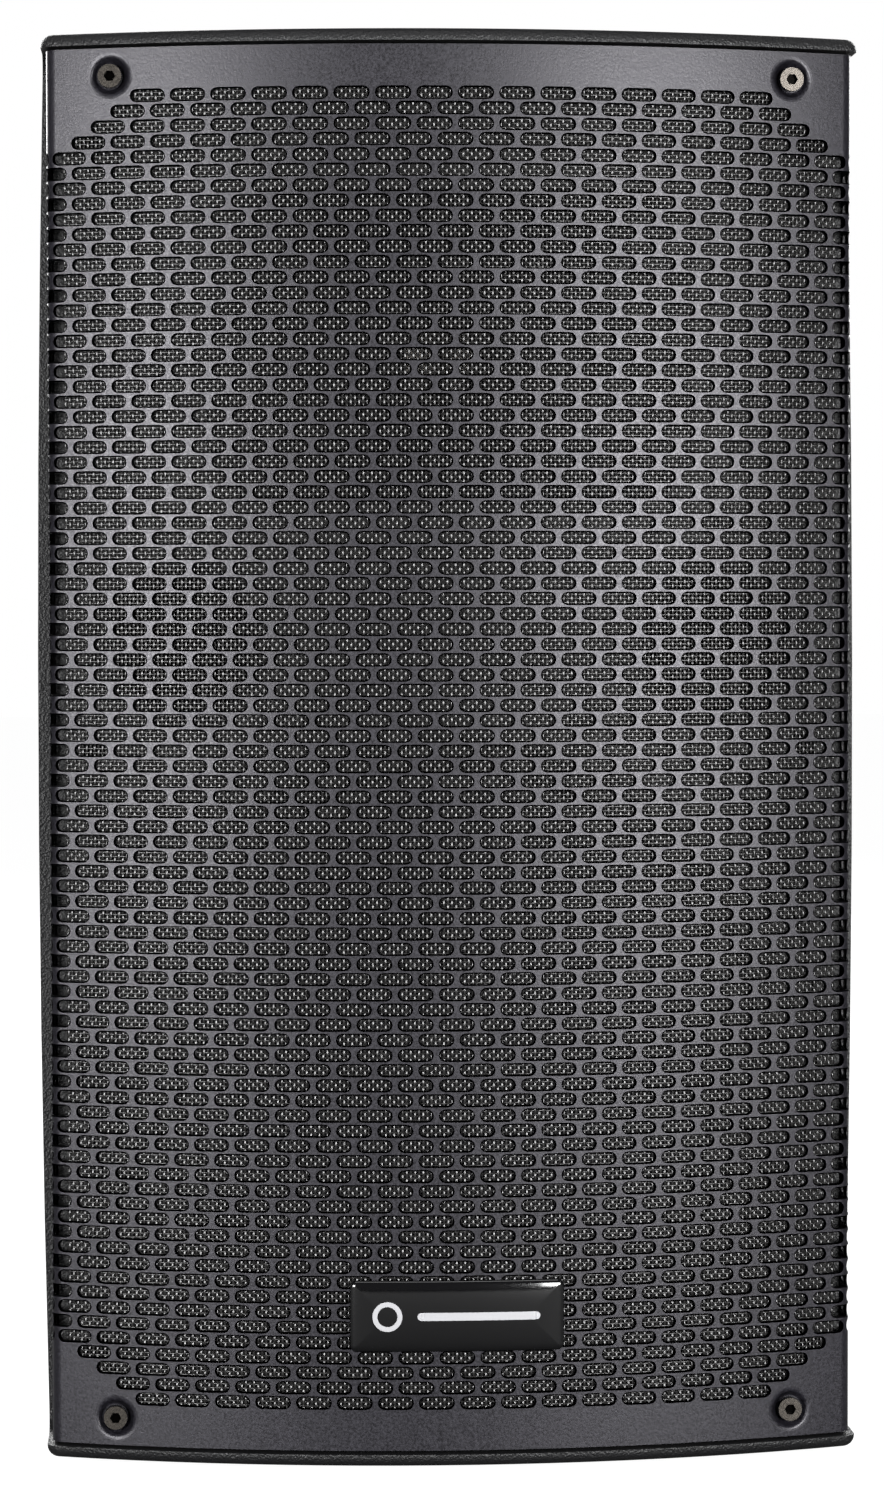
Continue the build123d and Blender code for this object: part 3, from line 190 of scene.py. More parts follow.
SLOT_STEP, ROW_STEP = 7.175 * MM, 5.3 * MM
SLOT_HALF, SLOT_ROUND = 4.0 * MM, 1.85 * MM
EASED = 0.50 * MM            # the punched edge, rounded by the coating
EASED_LEAN = 0.85            # how far the edge has turned into the slot at its lip, as a tangent
LAST_ROW, FULL_ROW = 43, 39  # rows from the middle one to the last, and to the last of full width
FULL_REACH = 22              # slot steps from the middle to a full row's last slot
CORNER_SUM = 58              # past the full rows, row and reach add up to this, so the corners are cut
fold_lines = np.linspace(rolled_run, folded_run, 7)
slots = []
for row in range(-LAST_ROW, LAST_ROW + 1):
    reach = FULL_REACH if abs(row) <= FULL_ROW else CORNER_SUM - abs(row)
    slots += [(u * SLOT_STEP, mid_z + row * ROW_STEP) for u in range(-reach, reach + 1) if (u + row) % 2 == 0]


def slot_outline(centre):
    """Points round an obround, each with its outward direction, and more where a fold crosses its sides."""
    extra = [side * line - centre for side in (-1, 1) for line in fold_lines]
    extra = [along for along in extra if abs(along) < SLOT_HALF * 0.95]
    angles = np.linspace(-pi / 2, pi / 2, 7)
    out = [(SLOT_HALF, a) for a in angles]
    out += [(e, pi / 2) for e in sorted(extra, reverse=True)]
    out += [(-SLOT_HALF, a + pi) for a in angles]
    out += [(e, -pi / 2) for e in sorted(extra)]
    return np.array([(c, np.cos(a), np.sin(a)) for c, a in out])


rim, lean, slot_of, loops = [], [], [], []
for number, (centre, height) in enumerate(slots):
    outline = slot_outline(centre)
    first = len(rim)
    for c, dx, dz in outline:
        rim.append((centre + c + dx * SLOT_ROUND, height + dz * SLOT_ROUND))
        lean.append((dx, dz))
        slot_of.append(number)
    loops.append(list(range(first, len(rim))))
rim, lean = np.array(rim), np.array(lean)

screw_low, screw_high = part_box("grille_screws")
SCREW_HEAD = 4.1 * MM
DIMPLE_EDGE = 8.0 * MM
DIMPLE_POINTS = 40
screws = [(x, z) for x in (screw_low[0] + SCREW_HEAD, screw_high[0] - SCREW_HEAD)
          for z in (screw_low[2] + SCREW_HEAD, screw_high[2] - SCREW_HEAD)]
around = np.arange(DIMPLE_POINTS) * 2 * pi / DIMPLE_POINTS
dimple_rims = []
plain = []                   # every other point of the flat sheet
for x, z in screws:
    ring_x, ring_z = x + DIMPLE_EDGE * np.cos(around), z + DIMPLE_EDGE * np.sin(around)
    first = len(rim) + len(plain)
    plain += [(ROLL * asin(px / ROLL), pz) for px, pz in zip(ring_x, ring_z)]
    dimple_rims.append(list(range(first, first + DIMPLE_POINTS)))
border_runs = np.concatenate([np.linspace(-sheet_run, -folded_run, 4)[:-1], -fold_lines[::-1][:-1],
                              np.linspace(-rolled_run, rolled_run, 61)[:-1], fold_lines[:-1],
                              np.linspace(folded_run, sheet_run, 4)])
border_first = len(rim) + len(plain)
border = [(r, grille_low[2]) for r in border_runs]
border += [(sheet_run, z) for z in np.linspace(grille_low[2], grille_high[2], 41)[1:-1]]
border += [(r, grille_high[2]) for r in border_runs[::-1]]
border += [(-sheet_run, z) for z in np.linspace(grille_high[2], grille_low[2], 41)[1:-1]]
plain += border
border_loop = list(range(border_first, border_first + len(border)))
# filler points keep the plain margins and the folds smooth
slot_table = np.array(slots)


def clear_of_holes(run, z):
    near = slot_table[(np.abs(slot_table[:, 1] - z) < 4 * MM) & (np.abs(slot_table[:, 0] - run) < 9 * MM)]
    away = np.hypot(np.maximum(np.abs(near[:, 0] - run) - SLOT_HALF, 0), near[:, 1] - z)
    dimples = [np.hypot(ROLL * asin(x / ROLL) - run, sz - z) for x, sz in screws]
    return (len(away) == 0 or away.min() > SLOT_ROUND + 0.55 * MM) and min(dimples) > DIMPLE_EDGE + 1.2 * MM


MARGIN_LINES = (5.0 * MM, 10.5 * MM)                         # up from the sheet's lower edge, and down
CORNER_RUNS = (105, 112, 119, 126, 133, 138.5, 152, 162)     # millimetres from the middle
fillers = [(r, z) for r in border_runs[1:-1] for line in MARGIN_LINES
           for z in (grille_low[2] + line, grille_high[2] - line)]
fillers += [(side * line, mid_z + half_row / 2 * ROW_STEP)
            for side in (-1, 1) for line in fold_lines for half_row in range(-91, 92)]
fillers += [(side * r * MM, mid_z + up * (FULL_ROW + 0.6 + k) * ROW_STEP)
            for side in (-1, 1) for up in (-1, 1) for r in CORNER_RUNS for k in range(1, 6)]
plain += [(r, z) for r, z in fillers if clear_of_holes(r, z)]
plain = np.array(plain)

flat = np.vstack([rim, plain])
open_edges = []
for loop in loops + dimple_rims + [border_loop]:
    open_edges += list(zip(loop, loop[1:] + loop[:1]))
points, _, triangles, original, _, _ = delaunay_2d_cdt([tuple(p) for p in flat / MM], open_edges, [], 0, 1e-5)
index = [o[0] for o in original]
hole_of = np.full(len(flat), -1)
hole_of[:len(rim)] = slot_of
for number, loop in enumerate(dimple_rims):
    hole_of[loop] = len(slots) + number
skin = []
for triangle in triangles:
    a, b, c = (index[i] for i in triangle)
    if not (hole_of[a] == hole_of[b] == hole_of[c] >= 0):
        skin.append((a, b, c))

def noise(tree, place, size, **sockets):
    """A noise node fixed to the object, whose waves are size metres long."""
    return add(tree, "ShaderNodeTexNoise", {"Vector": place.outputs["Object"], "Scale": 1 / size, **sockets})


def surfaced(name, grain, shades, gloss, relief, metallic=0.0, ior=None, pattern="ShaderNodeTexNoise",
             output="Fac", stretch=(1, 1, 1), settings=None, **choices):
    """A material whose one pattern, of a real size in millimetres, sets its shade, gloss and relief."""
    material, tree, shader = start(name)
    shader.inputs["Metallic"].default_value = metallic
    if ior:
        shader.inputs["IOR"].default_value = ior
    place = add(tree, "ShaderNodeTexCoord")
    laid = add(tree, "ShaderNodeMapping", {"Vector": place.outputs["Object"], "Scale": stretch})
    sockets = {"Vector": laid.outputs["Vector"], "Scale": 1 / (grain * MM), **(settings or {})}
    marks = add(tree, pattern, sockets, **choices).outputs[output]
    tree.links.new(between(tree, marks, *shades), shader.inputs["Base Color"])
    worn = add(tree, "ShaderNodeMapRange", {"Value": marks, "To Min": gloss[0], "To Max": gloss[1]})
    tree.links.new(worn.outputs["Result"], shader.inputs["Roughness"])
    raised = add(tree, "ShaderNodeBump", {"Height": marks, "Strength": 0.6, "Distance": relief * MM})
    tree.links.new(raised.outputs["Normal"], shader.inputs["Normal"])
    return material


powder_coat, tree, shader = start("powder_coated_steel")
shader.inputs["Metallic"].default_value = 0.0
shader.inputs["IOR"].default_value = 1.5
shader.inputs["Specular Tint"].default_value = linear("#fbf9ff")
place = add(tree, "ShaderNodeTexCoord")
# the coating's orange peel, about 1.2 mm across, and its finer speckle of 0.8 mm
peel = noise(tree, place, 1.2 * MM, Detail=2.0)
speck = noise(tree, place, 0.8 * MM, Detail=2.0, Roughness=0.7)
flecks = add(tree, "ShaderNodeMapRange", {"Value": speck.outputs["Fac"], "From Min": 0.34, "From Max": 0.66})
tree.links.new(between(tree, flecks.outputs["Result"], "#0d0c10", "#242329"), shader.inputs["Base Color"])
sheen = add(tree, "ShaderNodeMapRange", {"Value": speck.outputs["Fac"], "From Min": 0.3, "From Max": 0.7,
                                         "To Min": 0.29, "To Max": 0.44})
tree.links.new(sheen.outputs["Result"], shader.inputs["Roughness"])
fine = add(tree, "ShaderNodeBump", {"Height": speck.outputs["Fac"], "Strength": 0.8, "Distance": 0.05 * MM})
coarse = add(tree, "ShaderNodeBump", {"Height": peel.outputs["Fac"], "Strength": 0.4, "Distance": 0.05 * MM,
                                      "Normal": fine.outputs["Normal"]})
tree.links.new(coarse.outputs["Normal"], shader.inputs["Normal"])

# the coating draws thin and a little smoother over the punched edges; their much paler colour is a painted
# highlight for the light the slot rims catch
edge_highlight_coat = surfaced("powder_coat_with_painted_edge_highlight", 0.8, ("#47464c", "#67666d"), (0.28, 0.40), 0.03, ior=1.5)

count, holes = len(flat), len(rim)
opened = rim + lean * EASED
run = np.concatenate([opened[:, 0], plain[:, 0], rim[:, 0], rim[:, 0], plain[:, 0]])
rise = np.concatenate([opened[:, 1], plain[:, 1], rim[:, 1], rim[:, 1], plain[:, 1]])
depth = np.concatenate([np.zeros(count), np.full(holes, EASED), np.full(count, SHEET)])
x, y, out_x, out_y = on_sheet(run, depth)
points = np.column_stack([x, y, rise])
outward = np.column_stack([out_x, out_y, np.zeros(len(x))])
along = np.column_stack([-out_y, out_x, np.zeros(len(x))])
walls = np.zeros_like(points)                 # normals of the punched walls, looking into their slot
walls[count:count + holes] = -(along[count:count + holes] * lean[:, :1])
walls[count:count + holes, 2] = -lean[:, 1]
walls[:holes] = walls[count:count + holes]
walls[count + holes:count + 2 * holes] = walls[count:count + holes]
# the coating leaves each edge as a quarter round, so its lip still looks half outward
lips = outward + EASED_LEAN * walls
lips /= np.linalg.norm(lips, axis=1, keepdims=True)

faces, normals, edge_faces = [], [], []


def facet(corners, looks):
    faces.append(corners)
    normals.extend(looks)


back = count + holes
for a, b, c in skin:
    facet((a, b, c), (outward[a], outward[b], outward[c]))
    facet((back + c, back + b, back + a), (-outward[c], -outward[b], -outward[a]))
for loop in loops:
    for a, b in zip(loop, loop[1:] + loop[:1]):
        edge_faces.append(len(faces))
        facet((b, a, count + a, count + b), (outward[b], outward[a], lips[count + a], lips[count + b]))
        facet((count + b, count + a, back + a, back + b), (walls[b], walls[a], walls[a], walls[b]))
for a, b in zip(border_loop, border_loop[1:] + border_loop[:1]):
    edge = np.cross(points[b] - points[a], outward[a])
    edge /= np.linalg.norm(edge)
    facet((a, b, back + b, back + a)[::-1], (edge,) * 4)
# the dimples: rings of (radius, how far from the sheet's curve to the flat floor), front then back
HEAD_HEIGHT = 4.0 * MM
floor_y = screw_low[1] + HEAD_HEIGHT
PRESSED = ((7.3, 0.012), (6.7, 0.05), (6.3, 0.13), (5.9, 0.30), (5.4, 0.60), (5.0, 0.84), (4.7, 0.96),
           (4.3, 1.0), (2.2, 1.0))
for (centre_x, centre_z), outer in zip(screws, dimple_rims):
    sides = []
    for offset, grow, first in ((0.0, 0.0, outer), (SHEET, 0.75, [back + i for i in outer])):
        rings = [first]
        for radius, share in PRESSED:
            reach = (radius + (grow if radius > 3 else 0)) * MM
            px, pz = centre_x + reach * np.cos(around), centre_z + reach * np.sin(around)
            py = (1 - share) * (roll_y - np.sqrt(ROLL ** 2 - px ** 2)) + share * floor_y + offset
            start_at = len(points)
            points = np.vstack([points, np.column_stack([px, py, pz])])
            rings.append(list(range(start_at, start_at + DIMPLE_POINTS)))
        sides.append(rings)
    for rings, turn in zip(sides, (1, -1)):
        shape = points[np.array(rings)]
        inward = np.gradient(shape, axis=0)
        onward = (np.roll(shape, -1, axis=1) - np.roll(shape, 1, axis=1)) / 2
        look = turn * np.cross(inward, onward)
        look /= np.linalg.norm(look, axis=2, keepdims=True)
        if look[-1, 0, 1] * turn > 0:
            look = -look
        for i in range(len(rings) - 1):
            for j in range(DIMPLE_POINTS):
                k = (j + 1) % DIMPLE_POINTS
                corners = [(i, j), (i + 1, j), (i + 1, k), (i, k)]
                if turn > 0:
                    corners = corners[::-1]
                facet(tuple(rings[r][c] for r, c in corners), [look[r, c] for r, c in corners])
    front, rear = sides[0][-1], sides[1][-1]
    for j in range(DIMPLE_POINTS):
        k = (j + 1) % DIMPLE_POINTS
        looks = [(-np.cos(around[i]), 0, -np.sin(around[i])) for i in (k, k, j, j)]
        facet((front[k], rear[k], rear[j], front[j]), looks)
grille = build("punched_grille", points, faces, powder_coat)
# the eased lips round every slot take the paler coat: a painted highlight
grille.data.materials.append(edge_highlight_coat)
for face in edge_faces:
    grille.data.polygons[face].material_index = 1
grille.data.normals_split_custom_set([tuple(n) for n in normals])
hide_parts("grille")
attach(grille, "cabinet")


# ------------------------------------------------------------ BACKING MESH
# Plain-woven black polyester monofilament, about 17 threads to the inch, glued inside the grille's curve.
# Each thread passes over and under the next, and its rounded, glossy top glints where it comes over.
THREAD_STEP = 1.455 * MM
# a thread's half width and crimp, then how steeply it dives and how far its round back leans, as tangents
WARP = (0.36 * MM, 0.20 * MM, 0.30, 0.75)
WEFT = (0.27 * MM, 0.06 * MM, 0.12, 1.1)     # pulled nearly straight
cloth_low, cloth_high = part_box("grille_mesh")
CLOTH_ROLL = ROLL - SHEET - 0.5 * MM
filament, tree, shader = start("black_polyester_monofilament")
shader.inputs["IOR"].default_value = 1.65
place = add(tree, "ShaderNodeTexCoord")
# some crests are flatter or more worn than others, changing about every 3 mm
drawn = noise(tree, place, 3.0 * MM, Detail=3.0)
worn = add(tree, "ShaderNodeMapRange", {"Value": drawn.outputs["Fac"], "From Min": 0.3, "From Max": 0.7,
                                        "To Min": 0.14, "To Max": 0.27})
tree.links.new(worn.outputs["Result"], shader.inputs["Roughness"])
tree.links.new(between(tree, drawn.outputs["Fac"], "#161616", "#2b2a29"), shader.inputs["Base Color"])


def woven(name, upright):
    """All the threads one way: ribbons that step over and under, with normals that round them."""
    half, crimp, steep, slope = WARP if upright else WEFT
    reach = CLOTH_ROLL * asin(cloth_high[0] / CLOTH_ROLL)
    columns = np.arange(-int(reach / THREAD_STEP), int(reach / THREAD_STEP) + 1)
    rows = np.arange(int((cloth_high[2] - cloth_low[2]) / THREAD_STEP) + 1)
    threads, steps = (columns, rows) if upright else (rows, columns)
    t, k = np.meshgrid(threads, steps, indexing="ij")
    over = np.where((t + k) % 2 == 0, 1.0, -1.0) * (1 if upright else -1)
    points = []
    for side in (-1, 1):
        across = t * THREAD_STEP + side * half
        onward = k * THREAD_STEP
        run, height = (across, onward) if upright else (onward, across)
        turn = run / CLOTH_ROLL
        radius = CLOTH_ROLL + over * crimp
        x, y = radius * np.sin(turn), roll_y - radius * np.cos(turn)
        points.append(np.stack([x, y, cloth_low[2] + height], -1))
    grid = np.stack(points, 2)
    ids = np.arange(grid.shape[0] * grid.shape[1] * 2).reshape(grid.shape[:3])
    a, b, c, d = ids[:, :-1, 0], ids[:, :-1, 1], ids[:, 1:, 1], ids[:, 1:, 0]
    quads = np.stack([a, b, c, d] if upright else [a, d, c, b], -1)
    middle = (grid[:, :-1].mean(2) + grid[:, 1:].mean(2)) / 2
    keep = np.ones(middle.shape[:2], bool)       # the cloth is cut away round each dimple
    for x, z in screws:
        keep &= np.hypot(middle[..., 0] - x, middle[..., 2] - z) >= DIMPLE_EDGE + 0.6 * MM
    # face normals follow the crimp, and lean outwards to both sides of the thread
    turn = middle[..., 0] / CLOTH_ROLL
    outward = np.stack([np.sin(turn), -np.cos(turn), np.zeros_like(turn)], -1)
    flatwise = np.stack([np.cos(turn), np.sin(turn), np.zeros_like(turn)], -1)
    upwise = np.zeros_like(outward)
    upwise[..., 2] = 1
    forth, side_on = (upwise, flatwise) if upright else (flatwise, upwise)
    # level at a crest and steep where the thread dives, so that each crest glints in its middle
    rising = over[:, :-1] < 0
    corners = []
    for side, end in ((-1, 0), (1, 0), (1, 1), (-1, 1)):
        dive = np.where(rising, -steep * (end == 0), steep * (end == 1))[..., None]
        leaned = outward + forth * dive + side_on * side * slope
        corners.append(leaned / np.linalg.norm(leaned, axis=-1, keepdims=True))
    order = (0, 1, 2, 3) if upright else (0, 3, 2, 1)
    normals = np.stack([corners[i] for i in order], 2)[keep].reshape(-1, 3)
    cloth = build(name, grid.reshape(-1, 3), [tuple(q) for q in quads[keep].tolist()], filament)
    cloth.data.normals_split_custom_set([tuple(n) for n in normals])
    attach(cloth, "cabinet")
    return cloth


warp = woven("mesh_warp", True)
weft = woven("mesh_weft", False)
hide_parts("grille_mesh")
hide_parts("grille_mesh")


# ------------------------------------------------------------ GRILLE SCREWS
# Four M4 socket screws, black-nickel plated, sunk in the dimples and going into brass inserts.
# The plating is dark and slightly satin, so each head shows a soft light and a rim.
def finish(material, *names):
    """Gives CAD nodes a material."""
    for name in names:
        for place in nodes[name].material_slots:
            place.material = material


# turned marks 0.5 mm apart, barely cut, and painted shade down in each hexagon's recess
head = surfaced("black_nickel_plated_steel", 0.5, ("#5d5954", "#7d7770"), (0.20, 0.34), 0.01, metallic=1.0)
tree = head.node_tree
shader = tree.nodes["Principled BSDF"]
turned = shader.inputs["Base Color"].links[0].from_socket
place = add(tree, "ShaderNodeTexCoord")
split = add(tree, "ShaderNodeSeparateXYZ", {"Vector": place.outputs["Object"]})
# painted shade: each hexagon's recess darkens to near black from 0.1 to 1 mm behind the heads' front faces
hex_shade_mask = add(tree, "ShaderNodeMapRange", {"Value": split.outputs["Y"], "From Min": screw_low[1] + 0.1 * MM,
                                        "From Max": screw_low[1] + 1.0 * MM})
hex_recess_shade = add(tree, "ShaderNodeMix", {"Factor": hex_shade_mask.outputs["Result"], "A": turned, "B": linear("#0c0b0a")},
             data_type="RGBA")
tree.links.new(hex_recess_shade.outputs["Result"], shader.inputs["Base Color"])
finish(head, "grille_screws")
# knurled brass, dull where the plastic was moulded against it
brass = surfaced("machined_brass", 0.6, ("#9a7a3c", "#b8964f"), (0.28, 0.42), 0.03, metallic=1.0)
finish(brass, "grille_inserts", "fly_inserts")


# ------------------------------------------------------------ BADGE
# A die-cast plate, domed and lacquered gloss black, glued to the grille's curve. It carries only a
# plain printed ring and bar in pale silver, under the same lacquer.
badge_low, badge_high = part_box("badge")
BADGE_HALF = ((badge_high[0] - badge_low[0]) / 2, (badge_high[2] - badge_low[2]) / 2)
BADGE_CORNER = 2.4 * MM
badge_z = (badge_low[2] + badge_high[2]) / 2
# (inset from the outline, height over the sheet) from the back edge to the crown
BADGE_STEPS = ((0.0, 0.1), (0.0, 0.75), (0.10, 1.08), (0.38, 1.40), (0.80, 1.62), (1.40, 1.78), (2.2, 1.88),
               (3.4, 1.98), (5.2, 2.08), (7.6, 2.17), (10.2, 2.22), (12.2, 2.24))


def plate_outline(inset):
    """A rounded rectangle with enough points along it to follow the grille's curve."""
    wide, high = BADGE_HALF[0] - inset, BADGE_HALF[1] - inset
    corner = max(BADGE_CORNER - inset, 0.15 * MM)
    corner = min(corner, high)
    out = []
    for sx, sz, first in ((1, 1, 0), (-1, 1, 90), (-1, -1, 180), (1, -1, 270)):
        for i in range(6):
            a = radians(first + 18 * i)
            out.append((sx * (wide - corner) + corner * np.cos(a), sz * (high - corner) + corner * sin(a)))
        if sz == 1 and sx == 1 or sz == -1 and sx == -1:
            run = np.linspace(sx * (wide - corner), -sx * (wide - corner), 26)[1:-1]
            out += [(x, sz * high) for x in run]
    return out


def over_sheet(x, z, height):
    radius = ROLL + height
    return x, roll_y - sqrt(radius ** 2 - x ** 2), z


lacquer, tree, shader = start("gloss_black_lacquer")
shader.inputs["Base Color"].default_value = linear("#040405")
shader.inputs["Roughness"].default_value = 0.10
shader.inputs["Coat Weight"].default_value = 1.0
shader.inputs["Coat Roughness"].default_value = 0.06
place = add(tree, "ShaderNodeTexCoord")
# faint orange peel in the lacquer, waves about 2.5 mm long
ripple = noise(tree, place, 2.5 * MM, Detail=1.0)
waves = add(tree, "ShaderNodeBump", {"Height": ripple.outputs["Fac"], "Strength": 0.25,
                                     "Distance": 0.02 * MM})
tree.links.new(waves.outputs["Normal"], shader.inputs["Normal"])
tree.links.new(waves.outputs["Normal"], shader.inputs["Coat Normal"])
points, faces = [], []
for inset, height in BADGE_STEPS:
    points += [over_sheet(x, badge_z + z, height * MM) for x, z in plate_outline(inset * MM)]
ring = len(plate_outline(0))
for step in range(len(BADGE_STEPS) - 1):
    for i in range(ring):
        j = (i + 1) % ring
        faces.append((step * ring + i, step * ring + j, (step + 1) * ring + j, (step + 1) * ring + i))
top = (len(BADGE_STEPS) - 1) * ring
half = ring // 2
for i in range(half - 1):
    faces.append((top + i, top + i + 1, top + (2 * half - 2 - i) % ring, top + (2 * half - 1 - i) % ring))
faces.append(tuple(range(ring))[::-1])
badge = build("badge_plate", points, faces, lacquer)
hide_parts("badge")
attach(badge, "cabinet")

INK = 0.03 * MM              # how thick a print is
silver_ink = surfaced("silver_screen_ink", 0.3, ("#a5a5a8", "#b9b9bc"), (0.34, 0.46), 0.004)


def crown(x, z):
    """Height of the badge's face over the sheet."""
    inset = min(BADGE_HALF[0] - abs(x), BADGE_HALF[1] - abs(z)) / MM
    return float(np.interp(inset, [s[0] for s in BADGE_STEPS[2:]], [s[1] for s in BADGE_STEPS[2:]])) * MM


def printed(name, strokes, ink, surface):
    """Flat ink between the two edges of each stroke, lists of (x, z) points laid on a surface."""
    points, faces = [], []
    for near, far in strokes:
        first, n = len(points), len(near)
        points += [surface(x, z) for x, z in near + far]
        faces += [(first + i, first + i + 1, first + n + i + 1, first + n + i) for i in range(n - 1)]
    made = build(name, points, faces, ink)
    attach(made, "cabinet")
    return made


def circle(x, z, radius, count=48):
    """Points round a circle, the first one again at the end."""
    return [(x + radius * np.cos(a), z + radius * sin(a)) for a in np.linspace(0, 2 * pi, count + 1)]


def bar(x0, x1, z, half):
    """The lower and upper edges of a round-ended bar."""
    turns = np.radians(np.arange(6, 91, 12))
    ends = [(half * (1 - np.cos(a)), half * sin(a)) for a in turns]
    run = [(x0 + step, rise) for step, rise in ends]
    run += [(x, half) for x in np.linspace(x0 + half, x1 - half, 40)]
    run += [(x1 - step, rise) for step, rise in ends[::-1]]
    return [(x, z - rise) for x, rise in run], [(x, z + rise) for x, rise in run]


RING_X = badge_low[0] + 13.0 * MM
strokes = [(circle(RING_X, 0, 5.2 * MM), circle(RING_X, 0, 3.5 * MM)),
           bar(RING_X + 10.5 * MM, badge_high[0] - 8.5 * MM, 0, 1.4 * MM)]
printed("badge_print", strokes, silver_ink,
        lambda x, z: over_sheet(x, badge_z + z, crown(x, z) + INK))


# ------------------------------------------------------------ CABINET
# Two polypropylene mouldings, screwed together behind the baffle. The mould is etched with a fine
# leather grain, which leaves a dull black with a soft edge light.
grained, tree, shader = start("moulded_polypropylene")
shader.inputs["IOR"].default_value = 1.49
place = add(tree, "ShaderNodeTexCoord")
# the etched pebbles, about 0.7 mm across, broken up by a noise half as large again
warped = noise(tree, place, 1.1 * MM, Detail=2.0)
pebble = add(tree, "ShaderNodeTexVoronoi", {"Vector": place.outputs["Object"], "Scale": 1 / (0.7 * MM),
                                            "Randomness": 1.0}, feature="SMOOTH_F1")
grain = add(tree, "ShaderNodeMath", {0: pebble.outputs["Distance"], 1: warped.outputs["Fac"]},
            operation="ADD")
tree.links.new(between(tree, warped.outputs["Fac"], "#0b0b0c", "#161618"), shader.inputs["Base Color"])
worn = add(tree, "ShaderNodeMapRange", {"Value": pebble.outputs["Distance"], "From Max": 0.8,
                                        "To Min": 0.36, "To Max": 0.58})
tree.links.new(worn.outputs["Result"], shader.inputs["Roughness"])
etched = add(tree, "ShaderNodeBump", {"Height": grain.outputs["Value"], "Strength": 1.0,
                                      "Distance": 0.26 * MM})
etched.invert = True
tree.links.new(etched.outputs["Normal"], shader.inputs["Normal"])
finish(grained, "front_baffle", "rear_shell")
# zinc plated and blacked steel screws, holding the halves together and the handle and socket on
blacked = surfaced("blacked_zinc_steel", 0.4, ("#1c1c1d", "#2e2e30"), (0.30, 0.45), 0.01, metallic=1.0)
finish(blacked, "shell_screws", "countersunk_screws", "woofer_screws", "horn_screws", "amp_panel_screws")


# ------------------------------------------------------------ HANDLE, STAND SOCKET AND FEET
# The carrying bar is moulded in soft thermoplastic rubber, with a fine matt grain. The stand socket
# is a pressed steel cup, powder coated black, and the feet are moulded rubber discs.
finish(surfaced("soft_rubber_grip", 0.7, ("#101011", "#1a1a1b"), (0.62, 0.80), 0.05, ior=1.5), "handle_bar")
finish(surfaced("black_powder_coated_cup", 0.5, ("#131315", "#222225"), (0.36, 0.50), 0.03, ior=1.5),
       "pole_cup")
finish(surfaced("moulded_rubber_feet", 0.9, ("#0e0e0e", "#191918"), (0.70, 0.88), 0.04, ior=1.5),
       "rubber_feet")


# ------------------------------------------------------------ WOOFER
# A 10 inch driver: pressed steel basket enamelled black, pulp cone with a rolled rubber edge, copper
# coil on a tan phenolic-dipped spider, and a ferrite ring between zinc-plated plates.
finish(surfaced("cork_paper_gasket", 0.8, ("#3a3530", "#59524a"), (0.85, 0.95), 0.05), "woofer_gasket")
finish(surfaced("black_enamelled_steel", 1.5, ("#0f0f10", "#1b1b1d"), (0.28, 0.42), 0.02, ior=1.5),
       "woofer_basket")
finish(surfaced("butyl_rubber_surround", 0.6, ("#0d0d0e", "#171718"), (0.50, 0.66), 0.02, ior=1.5),
       "woofer_surround")
# felted paper pulp: fibres 0.25 mm thick, tangled every way
pulp = surfaced("felted_paper_pulp", 1.2, ("#17171a", "#2b2b2f"), (0.74, 0.92), 0.06, settings={"Detail": 8.0,
                "Roughness": 0.75, "Distortion": 1.5})
finish(pulp, "woofer_cone", "woofer_dust_cap")
# a wave pattern repeats every 0.314 of its scale, so this is wire wound 0.35 mm apart
finish(surfaced("enamelled_copper_wire", 0.35 / 0.314, ("#7a3d1d", "#c4703a"), (0.22, 0.36), 0.05,
                metallic=1.0,
                pattern="ShaderNodeTexWave", bands_direction="Y"), "woofer_voice_coil")
# dipped cotton, its threads 0.6 mm apart
finish(surfaced("phenolic_dipped_cotton", 0.6, ("#8a6a3a", "#b08e58"), (0.70, 0.86), 0.06,
                pattern="ShaderNodeTexBrick",
                settings={"Mortar Size": 0.08, "Bias": 0.0}, output="Fac"), "woofer_spider")
plated = surfaced("zinc_plated_steel", 2.0, ("#8d9094", "#a9acb1"), (0.30, 0.46), 0.01, metallic=1.0)
finish(plated, "woofer_top_plate", "woofer_back_plate", "hf_pole_piece", "hf_top_plate")
# sintered ferrite, ground flat: a grey-black ceramic with 0.5 mm specks
finish(surfaced("sintered_ferrite", 0.5, ("#242427", "#3a3a3e"), (0.55, 0.75), 0.02),
       "woofer_magnet", "hf_magnet")


# ------------------------------------------------------------ HORN AND TWEETER
# The horn is injection moulded in ABS with a light spark finish, and the compression driver bolted to
# its throat has a titanium diaphragm under a moulded rear cap.
spark = surfaced("spark_finished_abs", 0.35, ("#101012", "#1c1c1f"), (0.40, 0.55), 0.02, ior=1.54)
finish(spark, "horn", "hf_rear_cap")
finish(surfaced("formed_titanium", 1.5, ("#605d59", "#757069"), (0.40, 0.52), 0.01, metallic=1.0),
       "hf_diaphragm")
satin_tube = surfaced("satin_polypropylene", 0.8, ("#121214", "#1d1d20"), (0.38, 0.52), 0.02, ior=1.49)
finish(satin_tube, "port_tubes")


